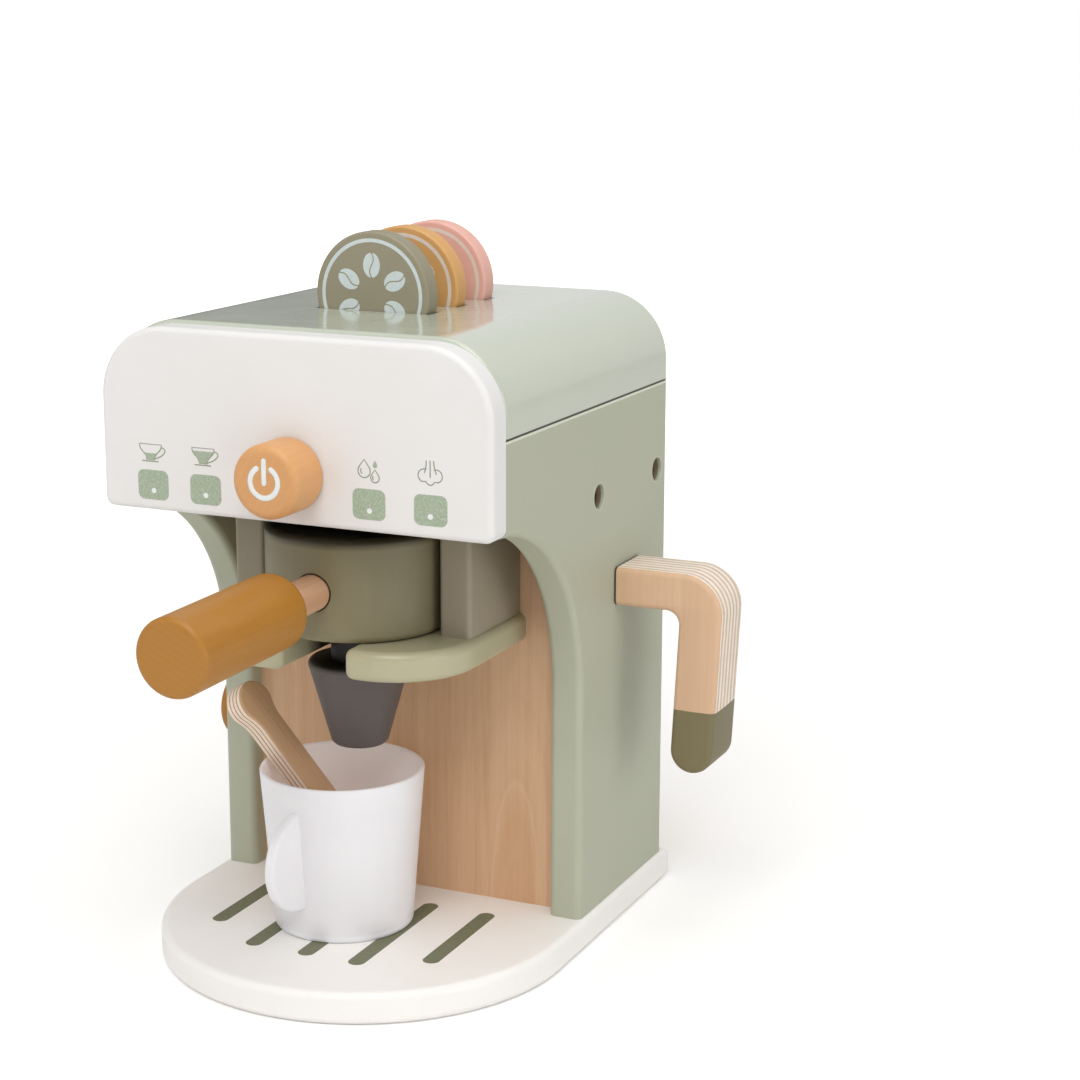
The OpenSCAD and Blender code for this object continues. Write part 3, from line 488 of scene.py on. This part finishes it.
# root and seam give the arm's painted shade along its root
armDip = {"level": 104.8, "wobble": 0.25, "colour": "7a7050", "root": 90.8, "seam": "3a2f22"}
rackPly = birchPly("birch plywood board", rackBoard)
armPly = birchPly("birch multi-ply of the arm", armBoard, dip=armDip)
stirrerPly = birchPly("birch multi-ply of the stirrer", stirrerBoard)

# the cone of the cup's inside, as (height, radius) at its foot and its rim
cupLow, cupHigh = boxOf("cup")
# painted light: a faint warm emission that lightens the cup's inside
cupPaintedGlow = {"middle": ((cupLow.x + cupHigh.x) / 2 * mm, (cupHigh.y - (cupHigh.x - cupLow.x) / 2) * mm, 0),
           "low": (15.5, 29.6), "high": (84.5, 35.0), "strength": 0.1, "colour": "ffe4d2"}
cupPlastic = mouldedPlastic("white moulded plastic", "f6f5f9", 0.08, cupPaintedGlow)
screwSteel = platedSteel("zinc-plated steel", "9a9a98", "b9bab8")
# painted shade: the side screws get a dark finish for the shade at the bottom of their bores
shadedScrewSteel = platedSteel("dark steel for painted shade", "4a3d31", "6b5a4a")
greenInk = screenInk("green-grey ink", "98a88e", "c9cfc2", patchy=0.7, size=0.5)
lineInk = screenInk("fine green-grey ink", "8f9782", "acb19f")
stripeInk = screenInk("olive-grey ink", "73765c", "8b8c76", patchy=0.4, size=2)
whiteInk = screenInk("white ink", "e9ecea", "d5dad6")
iceInk = screenInk("pale blue-white ink", "cdd6d6", "b7c0bf")
creamInk = screenInk("pale warm ink", "e4d6cb", "d9c4b6")
print("materials made")

# what each carried-over node is finished in
nodeFinish = {
    "base_board": basePaint,
    "side_panel_left": sagePaint,
    "side_panel_right": sagePaint,
    "column_panel": columnVeneer,
    "back_panel": columnVeneer,
    "head_floor": underHeadShadePaint,
    "head_cover": lidLacquer,
    "pod_rack": rackPly,
    "front_panel": whitePaint,
    "power_knob": apricotPaint,
    "side_knob": mustardPaint,
    "post_left": taupePaint,
    "post_right": taupePaint,
    "holder_plate": platePaint,
    "portafilter_body": bodyPaint,
    "portafilter_dowel": dowelBeech,
    "portafilter_handle": mustardPaint,
    "portafilter_spout": slatePaint,
    "pod_olive": olivePaint,
    "pod_orange": orangePaint,
    "pod_pink": pinkPaint,
    "base_screws": screwSteel,
}
for turning in ("power_knob", "side_knob", "steam_arm"):
    nodeFinish[turning + "_axle"] = turnedBeech
    nodeFinish[turning + "_washer"] = turnedBeech
for dowels in ("cover_dowels", "panel_dowels", "holder_dowels"):
    nodeFinish[dowels] = turnedBeech
for nodeName, finish in nodeFinish.items():
    mesh = nodes[nodeName].data
    mesh.materials.clear()
    mesh.materials.append(finish)
print("nodes finished:", len(nodeFinish))


def circlePoints(x, y, radius, count=40, start=0, end=360):
    full = abs(end - start) >= 360
    steps = count if full else count - 1
    angles = [math.radians(start + (end - start) * i / steps) for i in range(count)]
    return [(x + radius * math.cos(a), y + radius * math.sin(a)) for a in angles]


def roundedRectangle(x, y, width, height, radius, count=7):
    points = []
    for cornerX, cornerY, start in ((1, 1, 0), (-1, 1, 90), (-1, -1, 180), (1, -1, 270)):
        centreX = x + cornerX * (width / 2 - radius)
        centreY = y + cornerY * (height / 2 - radius)
        points += circlePoints(centreX, centreY, radius, count, start, start + 90)
    return points


# points on a Bezier curve through its four control points
def bezierPoints(a, b, c, d, count=9):
    points = []
    for i in range(count):
        t = i / (count - 1)
        weights = ((1 - t) ** 3, 3 * t * (1 - t) ** 2, 3 * t * t * (1 - t), t ** 3)
        points.append(tuple(sum(w * p[k] for w, p in zip(weights, (a, b, c, d))) for k in (0, 1)))
    return points


# a drop with its tip up, from the tip and round the foot
def dropPoints(x, y, radius, tip, count=24):
    opening = math.degrees(math.acos(radius / tip))
    return [(x, y + tip)] + circlePoints(x, y, radius, count, 90 - opening, -270 + opening)


def addObject(name, data):
    obj = bpy.data.objects.new(name, data)
    bpy.context.scene.collection.objects.link(obj)
    makeActive(obj)
    return obj


def editAll(obj):
    makeActive(obj)
    bpy.ops.object.mode_set(mode="EDIT")
    bpy.ops.mesh.select_all(action="SELECT")


# joins points that meet, turns all faces outwards and leaves edit mode
def weldMesh(distance):
    bpy.ops.mesh.select_all(action="SELECT")
    bpy.ops.mesh.remove_doubles(threshold=distance)
    bpy.ops.mesh.normals_make_consistent(inside=False)
    bpy.ops.object.mode_set(mode="OBJECT")


def curveToMesh(name, curve):
    addObject(name, curve)
    bpy.ops.object.convert(target="MESH")
    obj = bpy.context.object
    editAll(obj)
    weldMesh(0.000002)
    return obj


# printed ink: its thickness, and how far its middle is lifted off the face, in mm
film = {"thick": 0.06, "lift": 0.03}


# a flat board or film from closed outlines in mm, an outline inside another is left open
def flatPiece(name, outlines, thickness=film["thick"], soft=0):
    curve = bpy.data.curves.new(name, "CURVE")
    curve.dimensions = "2D"
    curve.fill_mode = "BOTH"
    curve.extrude = (thickness / 2 - soft) * mm
    curve.bevel_depth = soft * mm
    curve.bevel_resolution = 3
    curve.offset = -soft * mm
    for outline in outlines:
        spline = curve.splines.new("POLY")
        spline.points.add(len(outline) - 1)
        for point, (x, y) in zip(spline.points, outline):
            point.co = (x * mm, y * mm, 0, 1)
        spline.use_cyclic_u = True
    return curveToMesh(name, curve)


# an open line with points added past both ends, and the sizes that round it off there
def withRoundEnds(points, reach):
    parts = (0.5, 0.8, 0.97)
    ends = []
    for tip, inner in ((points[0], points[1]), (points[-1], points[-2])):
        away = Vector((tip[0] - inner[0], tip[1] - inner[1])).normalized()
        ends.append([(tip[0] + away.x * reach * t, tip[1] + away.y * reach * t) for t in parts])
    sizes = [math.sqrt(1 - t * t) for t in parts]
    return ends[0][::-1] + list(points) + ends[1], sizes[::-1] + [1.0] * len(points) + sizes


# drawn ink lines with round ends: lists of points in mm, closed ones join up
def printLines(name, lines, width, thickness=film["thick"]):
    curve = bpy.data.curves.new(name, "CURVE")
    curve.dimensions = "3D"
    curve.bevel_depth = width * mm / 2
    curve.bevel_resolution = 2
    curve.use_fill_caps = True
    for points, closed in lines:
        swell = [1.0] * len(points)
        if not closed:
            points, swell = withRoundEnds(points, width / 2)
        spline = curve.splines.new("POLY")
        spline.points.add(len(points) - 1)
        for point, (x, y), size in zip(spline.points, points, swell):
            point.co = (x * mm, y * mm, 0, 1)
            point.radius = size
        spline.use_cyclic_u = closed
    obj = curveToMesh(name, curve)
    editAll(obj)
    bpy.ops.transform.resize(value=(1, 1, thickness / width), center_override=(0, 0, 0))
    bpy.ops.object.mode_set(mode="OBJECT")
    return obj


# a move by this many mm
def moveBy(x, y, z):
    return Matrix.Translation((x * mm, y * mm, z * mm))


# turns a flat print upright so that it looks along -Y, and lays it on a face
def standOn(obj, x, y, z, lift=film["lift"]):
    obj.data.transform(moveBy(x, y - lift, z) @ upright)
    return obj


def joinPieces(name, pieces):
    deselectAll()
    for piece in pieces:
        piece.select_set(True)
    bpy.context.view_layer.objects.active = pieces[0]
    bpy.ops.object.join()
    pieces[0].name = name
    return pieces[0]


def smoothShading(obj, degrees=40):
    makeActive(obj)
    bpy.ops.object.shade_smooth_by_angle(angle=math.radians(degrees))


# turns an outline of (radius, height) in mm once round the upright axis
def turnProfile(name, profile, x, y, steps=96):
    mesh = bpy.data.meshes.new(name)
    mesh.from_pydata([((x + r) * mm, y * mm, z * mm) for r, z in profile],
                     [(i, i + 1) for i in range(len(profile) - 1)], [])
    obj = addObject(name, mesh)
    editAll(obj)
    bpy.ops.mesh.spin(steps=steps, angle=2 * math.pi, center=(x * mm, y * mm, 0), axis=(0, 0, 1))
    weldMesh(0.000005)
    return obj


def cutOrJoin(obj, tool, operation):
    makeActive(obj)
    modifier = obj.modifiers.new("fit", "BOOLEAN")
    modifier.operation = operation
    modifier.solver = "EXACT"
    modifier.object = tool
    bpy.ops.object.modifier_apply(modifier="fit")
    bpy.data.objects.remove(tool)
    return obj


cup = {"topRadius": (cupHigh.x - cupLow.x) / 2, "lowRadius": 30.3, "wall": 1.8, "floor": 2.8, "lip": 0.9,
       "corner": 2.5, "foot": 1.6, "recess": 1.0, "rim": 3.0, "slope": 0.6,
       "groove": {"at": 3.2, "section": [(-0.5, 0), (0, 0.12), (0.5, 0)]},
       "fin": {"radius": 22, "thick": 5, "height": 37, "inset": 1.5, "turn": -97, "soft": 1.5, "steps": 5}}


# how much the cup's wall leans out, and its outer radius at a height, in mm
def cupLean():
    return (cup["topRadius"] - cup["lowRadius"]) / (cupHigh.z - cupLow.z)


def cupOutside(z):
    return cup["lowRadius"] + cupLean() * (z - cupLow.z)


# the half of the cup's section on one side of its axis, from the recess underneath
# over the soft foot, the groove and the round lip to the middle of its floor
def cupProfile():
    s = cup
    low, high = cupLow.z, cupHigh.z
    recess = [(0, low + s["recess"]), (cupOutside(low) - s["rim"] - s["slope"], low + s["recess"]),
              (cupOutside(low) - s["rim"], low)]
    footX = cupOutside(low + s["foot"]) - s["foot"]
    foot = circlePoints(footX, low + s["foot"], s["foot"], 8, -90, 0)
    grooveZ = low + s["groove"]["at"]
    groove = [(cupOutside(grooveZ + rise) - deep, grooveZ + rise) for rise, deep in s["groove"]["section"]]
    lipZ = high - s["lip"]
    lip = circlePoints(cupOutside(lipZ) - s["lip"], lipZ, s["lip"], 9, 0, 180)
    floorZ = low + s["floor"]
    cornerX = cupOutside(floorZ) - s["wall"] - s["corner"]
    corner = circlePoints(cornerX, floorZ + s["corner"], s["corner"], 8, 0, -90)
    return recess + foot + groove + lip + corner + [(0, floorZ)]


# the half-moon fin to hold the cup by: a disc on edge, cut off inside the cup's wall
def makeFin(middleX, middleY):
    s = cup["fin"]
    height = cupLow.z + s["height"]
    turn = math.radians(s["turn"])
    deselectAll()
    bpy.ops.mesh.primitive_cylinder_add(vertices=96, radius=s["radius"] * mm, depth=s["thick"] * mm)
    fin = bpy.context.object
    fin.name = "cup_fin"
    bevel = fin.modifiers.new("soft edge", "BEVEL")
    bevel.width = s["soft"] * mm
    bevel.segments = s["steps"]
    bevel.limit_method = "ANGLE"
    bpy.ops.object.modifier_apply(modifier="soft edge")
    fin.data.transform(moveBy(middleX, middleY, 0) @ Matrix.Rotation(turn, 4, "Z")
                       @ moveBy(cupOutside(height) - s["inset"], 0, height) @ upright)
    away = Vector((math.cos(turn), math.sin(turn), -cupLean())).normalized()
    cutRadius = cupOutside(height) - cup["wall"] / 2
    onCut = Vector((middleX + cutRadius * math.cos(turn), middleY + cutRadius * math.sin(turn), height)) * mm
    editAll(fin)
    bpy.ops.mesh.bisect(plane_co=onCut, plane_no=away, use_fill=True, clear_inner=True, clear_outer=False)
    bpy.ops.object.mode_set(mode="OBJECT")
    return fin


def makeCup():
    middleX = (cupLow.x + cupHigh.x) / 2
    middleY = cupHigh.y - cup["topRadius"]
    body = turnProfile("cup_detail", cupProfile(), middleX, middleY)
    cutOrJoin(body, makeFin(middleX, middleY), "UNION")
    smoothShading(body)
    return body


cupPiece = makeCup()
dress(cupPiece, cupPlastic, "cup")
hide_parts("cup")


# the stirrer: a plywood stick with a round bulb that a hollow neck leads into, all
# its edges sanded soft
def makeStirrer():
    s = stirrer
    half = s["wide"] / 2
    bulbZ = s["long"] - s["bulb"]
    reach = math.sqrt((s["bulb"] + s["neck"]) ** 2 - (half + s["neck"]) ** 2)
    touch = math.degrees(math.atan2(reach, half + s["neck"]))
    right = circlePoints(0, half, half, 14, -90, 0)
    right += circlePoints(half + s["neck"], bulbZ - reach, s["neck"], 12, 180, 180 - touch)
    right += circlePoints(0, bulbZ, s["bulb"], 20, -touch, 90)
    left = [(-x, z) for x, z in right[::-1]]
    obj = flatPiece("stirrer_detail", [right + left[1:-1]], s["thick"], s["soft"])
    obj.data.transform(Matrix.Translation(stirrerBoard["middle"]) @ stirrerTurn)
    smoothShading(obj)
    return obj


stirrerPiece = makeStirrer()
dress(stirrerPiece, stirrerPly, "stirrer")
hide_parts("stirrer")
print("cup and stirrer made")

# the bar and the leg are given by half their width
arm = {"root": -4, "bar": 8.6, "leg": 9.8, "bend": 18, "bendAt": (31.7, -9.4), "inner": 6,
       "innerAt": (23.8, -14.6), "lean": 3, "long": 62.06, "soft": 2.4}


# the steam arm: a flat bar that bends down into a leg with a round end, the leg
# leaning a little back towards the machine
def makeArm():
    s = arm
    lean = math.radians(s["lean"])
    x, z = s["bendAt"]
    out = s["bend"] - s["leg"]
    endX = x + out * math.cos(lean) - s["long"] * math.sin(lean)
    endZ = z - out * math.sin(lean) - s["long"] * math.cos(lean)
    outline = [(s["root"], -s["bar"]), (s["root"], s["bar"])]
    outline += circlePoints(x, z, s["bend"], 28, 90, -s["lean"])
    outline += circlePoints(endX, endZ, s["leg"], 32, -s["lean"], -180 - s["lean"])
    outline += circlePoints(*s["innerAt"], s["inner"], 14, -s["lean"], 90)
    obj = flatPiece("steam_arm_detail", [outline], armHigh.y - armLow.y, s["soft"])
    obj.data.transform(moveBy(armLow.x, (armLow.y + armHigh.y) / 2, armHigh.z - s["bar"]) @ upright)
    editAll(obj)
    bpy.ops.mesh.bisect(plane_co=(armLow.x * mm, 0, 0), plane_no=(1, 0, 0), use_fill=True, clear_inner=True)
    smoothShading(obj)
    return obj


armPiece = makeArm()
dress(armPiece, armPly, "steam_arm_set")
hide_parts("steam_arm")
print("steam arm made")

# turns are the angles of the cross recesses, front and rear, on the left (-1) and the right
sideScrew = {"headRadius": 5.1, "headDeep": 4.0, "dome": 0.9, "edge": 0.5, "crown": 0.12, "shank": 2.0,
             "long": 32, "point": 5, "rise": 1.6, "cross": (5.6, 1.3, 1.4),
             "turns": {-1: (13, 44), 1: (37, 68)}}


# a pan-head wood screw with a cross recess, its head's top at height 0 and its shank down
def makeScrew(name):
    s = sideScrew
    r = s["headRadius"]
    point = [(0, -s["long"]), (s["shank"] * 0.3, 1.5 - s["long"]), (s["shank"], s["point"] - s["long"])]
    head = [(s["shank"], -s["headDeep"]), (r, -s["headDeep"])]
    head += circlePoints(r - s["edge"], -s["dome"], s["edge"], 5, 0, 60)
    screw = turnProfile(name, point + head + [(r * 0.55, -s["crown"]), (0, 0)], 0, 0, 32)
    long, wide, deep = s["cross"]
    for turn in (0, 90):
        deselectAll()
        bpy.ops.mesh.primitive_cube_add(size=1)
        slot = bpy.context.object
        slot.data.transform(Matrix.Rotation(math.radians(turn), 4, "Z")
                            @ Matrix.Diagonal((long * mm, wide * mm, deep * 2 * mm, 1)))
        cutOrJoin(screw, slot, "DIFFERENCE")
    smoothShading(screw)
    return screw


# four of them lie at the bottom of the side panels' bores
def placeSideScrews():
    model = makeScrew("side_screws_detail")
    pieces = []
    for side, turns in sideScrew["turns"].items():
        for (_, y, z), turn in zip(boreMiddles, turns):
            screw = addObject(model.name, model.data.copy())
            screw.data.transform(Matrix.Translation((side * (screwHigh.x + sideScrew["rise"]) * mm, y, z))
                                 @ Matrix.Rotation(math.radians(90 * side), 4, "Y")
                                 @ Matrix.Rotation(math.radians(turn), 4, "Z"))
            pieces.append(screw)
    bpy.data.objects.remove(model)
    return joinPieces("side_screws_detail", pieces)


sideScrews = placeSideScrews()
dress(sideScrews, shadedScrewSteel, "machine")
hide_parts("side_screws")
print("screws made")

# each lane is the x of its middle and the y of its front end
stripes = {"width": 7.5, "rear": -1.0,
           "lanes": [(-55, -59), (-27.5, -76.5), (-1.8, -76.5), (22.5, -76.5), (50.3, -62)]}
baseTop = boxOf("base_board")[1].z
lanes = [roundedRectangle(x, (front + stripes["rear"]) / 2, stripes["width"], stripes["rear"] - front,
                          stripes["width"] / 2 - 0.01, 12) for x, front in stripes["lanes"]]
stripePrint = flatPiece("print_stripes", lanes)
stripePrint.data.transform(moveBy(0, 0, baseTop + film["lift"]))
dress(stripePrint, stripeInk, "machine")

panelFace = boxOf("front_panel")[0].y
buttons = {"width": 14.7, "height": 12.5, "corner": 2.8, "dot": 2.3, "dotLift": 0.08,
           "places": [(-65.5, 212.9), (-40.2, 212.9), (35.6, 213.6), (63.0, 213.6)],
           "dots": [(-65.3, 210.5), (-40.1, 210.6), (35.8, 211.0), (62.9, 211.1)]}
buttonOutlines = [roundedRectangle(x, z, buttons["width"], buttons["height"], buttons["corner"])
                  for x, z in buttons["places"]]
buttonPrint = standOn(flatPiece("print_buttons", buttonOutlines), 0, panelFace, 0)
dress(buttonPrint, greenInk, "machine")
dotOutlines = [circlePoints(x, z, buttons["dot"] / 2, 24) for x, z in buttons["dots"]]
dotPrint = standOn(flatPiece("print_dots", dotOutlines), 0, panelFace, 0, buttons["dotLift"])
dress(dotPrint, whiteInk, "machine")

# the pictograms: cups are their rim's middle and how full they are, drops their
# middle, radius and tip, and the steam's puffs and wisps are set out from its top
icons = {"line": 0.5, "fill": 0.04,
         "cup": {"rim": 5.3, "drop": 1.1, "foot": 1.9, "tall": 6.4, "saucer": (-4.0, 3.6, 7.1),
                 "handle": [(5.3, -1.1), (8.9, -1.6), (6.7, -4.6), (2.3, -5.9)]},
         "cups": [(-66.4, 229.9, 0.42), (-41.0, 230.2, 0.8)],
         "drops": [(33.6, 227.1, 2.75, 4.6), (38.45, 224.6, 1.9, 3.3)], "smallDrop": (38.5, 229.6, 1.05, 2.0),
         "steam": (62.9, 233.4),
         "puffs": [(2.7, -5.9, 2.6, 16, 110, -70), (0, -7.6, 2.0, 12, -20, -160),
                   (-2.7, -5.9, 2.6, 16, -110, -290)],
         "wisps": [bezierPoints((-1.7, 0), (-1.7, -2.2), (-2.0, -3.6), (-2.5, -4.8)), [(0, 0), (0, -6.4)],
                   bezierPoints((1.6, 0), (1.6, -2.2), (2.2, -3.6), (2.7, -5.1))]}


# right side of the cup's outline, down from its rim
def cupSide():
    s = icons["cup"]
    return [(s["rim"], 0)] + bezierPoints((s["rim"] - 0.1, -s["drop"]), (s["rim"] - 0.6, -s["tall"] * 0.5),
                                          (s["foot"] + 0.1, -s["tall"] * 0.55), (s["foot"], -s["tall"]))


def movedPoints(points, x, z):
    return [(x + px, z + pz) for px, pz in points]


def mirrored(points):
    return [(-px, pz) for px, pz in points]


def drawIcons():
    lines, areas = [], []
    side = cupSide()
    shape = icons["cup"]
    for x, z, fill in icons["cups"]:
        lines.append((movedPoints(mirrored(side) + side[::-1], x, z), True))
        lines.append((movedPoints(bezierPoints(*shape["handle"], 12), x, z), False))
        start, end, drop = shape["saucer"]
        lines.append((movedPoints([(start, -drop), (end, -drop)], x, z), False))
        level = -shape["tall"] * (1 - fill)
        edge = next(a[0] + (b[0] - a[0]) * (level - a[1]) / (b[1] - a[1])
                    for a, b in zip(side, side[1:]) if a[1] >= level >= b[1])
        inside = [(edge - 0.1, level)] + [(px - 0.1, pz) for px, pz in side if pz <= level]
        areas.append(movedPoints(mirrored(inside) + inside[::-1], x, z))
    for x, z, radius, tip in icons["drops"]:
        lines.append((dropPoints(x, z, radius, tip), True))
        lines.append((circlePoints(x, z, radius * 0.55, 8, 150, 225), False))
    areas.append(dropPoints(*icons["smallDrop"]))
    cloud = [point for puff in icons["puffs"] for point in circlePoints(*puff)]
    for points in (cloud, *icons["wisps"]):
        lines.append((movedPoints(points, *icons["steam"]), False))
    return (printLines("print_icon_lines", lines, icons["line"]),
            flatPiece("print_icon_fills", areas, icons["fill"]))


for iconPrint, ink in zip(drawIcons(), (lineInk, greenInk)):
    dress(standOn(iconPrint, 0, panelFace, 0), ink, "machine")

knobLow, knobHigh = boxOf("power_knob")
powerSign = {"radius": 6.3, "line": 2.35, "gap": 32, "bar": (8.6, -0.2), "rise": 0.2, "thick": 0.08}


# the power sign: an open ring, with a bar in its gap
def drawPowerSign():
    s = powerSign
    ring = circlePoints(0, 0, s["radius"], 36, 90 - s["gap"], -270 + s["gap"])
    bar = [(0, end) for end in s["bar"]]
    sign = printLines("print_power_sign", [(ring, False), (bar, False)], s["line"], s["thick"])
    return standOn(sign, (knobLow.x + knobHigh.x) / 2, knobLow.y, (knobLow.z + knobHigh.z) / 2 + s["rise"])


dress(drawPowerSign(), whiteInk, "power_knob_set")

podPrints = {"outer": 23.9, "line": 1.6,
             "bodies": {"olive": ("pod_front", iceInk), "orange": ("pod_middle", creamInk),
                        "pink": ("pod_rear", creamInk)}}
beans = {"count": 6, "reach": 12.6, "long": 10.6, "wide": 8.0, "open": 8, "split": 0.55, "sway": 0.9,
         "splitReach": 0.93}


# one coffee bean as two halves, its long way along y, turned and set out from the centre
def beanHalves(angle):
    s = beans
    turn = math.radians(angle - 90)
    halves = []
    for side in (-1, 1):
        rim = circlePoints(0, 0, 1, 18, 90 - side * s["open"], 90 - side * (180 - s["open"]))
        outline = [(px * s["wide"] / 2, py * s["long"] / 2) for px, py in rim]
        for i in range(15):
            t = s["splitReach"] * (i / 7 - 1)
            outline.append((s["sway"] * math.sin(math.pi * t) + side * s["split"] / 2, t * s["long"] / 2))
        halves.append([(px * math.cos(turn) - (py + s["reach"]) * math.sin(turn),
                        px * math.sin(turn) + (py + s["reach"]) * math.cos(turn)) for px, py in outline])
    return halves


for podName, (podBody, podInk) in podPrints["bodies"].items():
    podLow, podHigh = boxOf("pod_" + podName)
    outlines = [circlePoints(0, 0, podPrints["outer"], 96),
                circlePoints(0, 0, podPrints["outer"] - podPrints["line"], 96)]
    for i in range(beans["count"]):
        outlines += beanHalves(90 + 360 / beans["count"] * i)
    podPrint = flatPiece("print_pod_" + podName, outlines)
    dress(standOn(podPrint, 0, podLow.y, (podLow.z + podHigh.z) / 2), podInk, podBody)
print("prints made")

# sizes in metres; near and far are how white the floor is at from and to
stage = {"size": 6.0, "level": -0.0002, "colour": "f4f3f1", "near": 0.2, "far": 0.85, "gloss": 0.12,
         "from": 0.25, "to": 1.6}


# pale seamless floor: it adds plain white for the camera and some for reflections,
# more of it further off, so that it runs into the backdrop and still holds the shadow
def floorMaterial():
    s = stage
    material, tree, place = startMaterial("pale studio floor")
    path = addNode(tree, "LightPath", {}).outputs
    gloss = addNode(tree, "Math", {0: path["Is Glossy Ray"], 1: s["gloss"]}, operation="MULTIPLY")
    seen = addNode(tree, "Math", {0: path["Is Camera Ray"], 1: gloss}, operation="MAXIMUM")
    seen = addNode(tree, "Math", {0: seen, 1: path["Is Transmission Ray"]}, operation="MAXIMUM")
    away = addNode(tree, "VectorMath", {0: place}, operation="LENGTH")
    fill = addNode(tree, "MapRange", {0: away, 1: s["from"], 2: s["to"], 3: s["near"], 4: s["far"]},
                   interpolation_type="SMOOTHSTEP")
    strength = addNode(tree, "Math", {0: seen, 1: fill}, operation="MULTIPLY")
    paint = addNode(tree, "BsdfDiffuse", {"Color": linear(s["colour"])})
    glow = addNode(tree, "Emission", {"Color": (1, 1, 1, 1), "Strength": strength})
    return finishMaterial(material, tree, addNode(tree, "AddShader", {0: paint, 1: glow}))


deselectAll()
bpy.ops.mesh.primitive_circle_add(vertices=64, radius=stage["size"], fill_type="NGON",
                                  location=(0, 0, stage["level"]))
floor = bpy.context.object
floor.name = "floor"
floor.data.materials.append(floorMaterial())

studio = {
    "world": 0.5,
    "screen": {"bright": 0.74, "dim": 0.2, "heading": 3.25, "half": 28.75, "edge": 33},  # angles in degrees
    "lamps": [  # name, place, aim, size, watts
        ("lamp_key", (0.35, -1.15, 1.55), (0, 0, 0.08), 1.1, 13.3),
        ("lamp_top", (0.1, -0.1, 1.9), (0, 0, 0.1), 1.4, 8.2),
        ("lamp_front_left", (-1.4, -1.3, 0.9), (0, 0, 0.15), 1.2, 4),
        ("lamp_right", (1.9, -0.4, 0.45), (0, 0, 0.1), 1.0, 6),
    ],
}


# even light all round; the camera sees plain white, and glossy faces mirror a bright
# screen behind the machine and a dim room on either side of it
def makeWorld():
    s = studio["screen"]
    world = bpy.data.worlds.new("studio")
    bpy.context.scene.world = world
    world.use_nodes = True
    tree = world.node_tree
    tree.nodes.clear()
    path = addNode(tree, "LightPath", {}).outputs
    seen = addNode(tree, "Math", {0: path["Is Camera Ray"], 1: path["Is Transmission Ray"]},
                   operation="MAXIMUM")
    way = addNode(tree, "SeparateXYZ", {0: addNode(tree, "TexCoord", {}).outputs["Object"]}).outputs
    heading = addNode(tree, "Math", {0: way[0], 1: way[1]}, operation="ARCTAN2")
    apart = addNode(tree, "Math", {0: heading, 1: math.radians(s["heading"])}, operation="SUBTRACT")
    apart = addNode(tree, "Math", {0: apart}, operation="ABSOLUTE")
    mirror = addNode(tree, "MapRange", {0: apart, 1: math.radians(s["half"]), 2: math.radians(s["edge"]),
                                        3: s["bright"], 4: s["dim"]}, interpolation_type="SMOOTHSTEP")
    plain = addNode(tree, "MapRange", {0: path["Is Glossy Ray"], 3: studio["world"], 4: mirror})
    strength = addNode(tree, "MapRange", {0: seen, 3: plain, 4: 1})
    sky = addNode(tree, "Background", {"Color": (1, 1, 1, 1), "Strength": strength})
    addNode(tree, "OutputWorld", {"Surface": sky})


def placeLamps():
    for name, place, aim, size, watts in studio["lamps"]:
        deselectAll()
        bpy.ops.object.light_add(type="AREA", location=place)
        lamp = bpy.context.object
        lamp.name = name
        lamp.data.shape = "DISK"
        lamp.data.size = size
        lamp.data.energy = watts
        lamp.rotation_euler = (Vector(aim) - Vector(place)).to_track_quat("-Z", "Y").to_euler()


makeWorld()
placeLamps()
bpy.context.scene.view_settings.view_transform = "Standard"
print("studio lit")
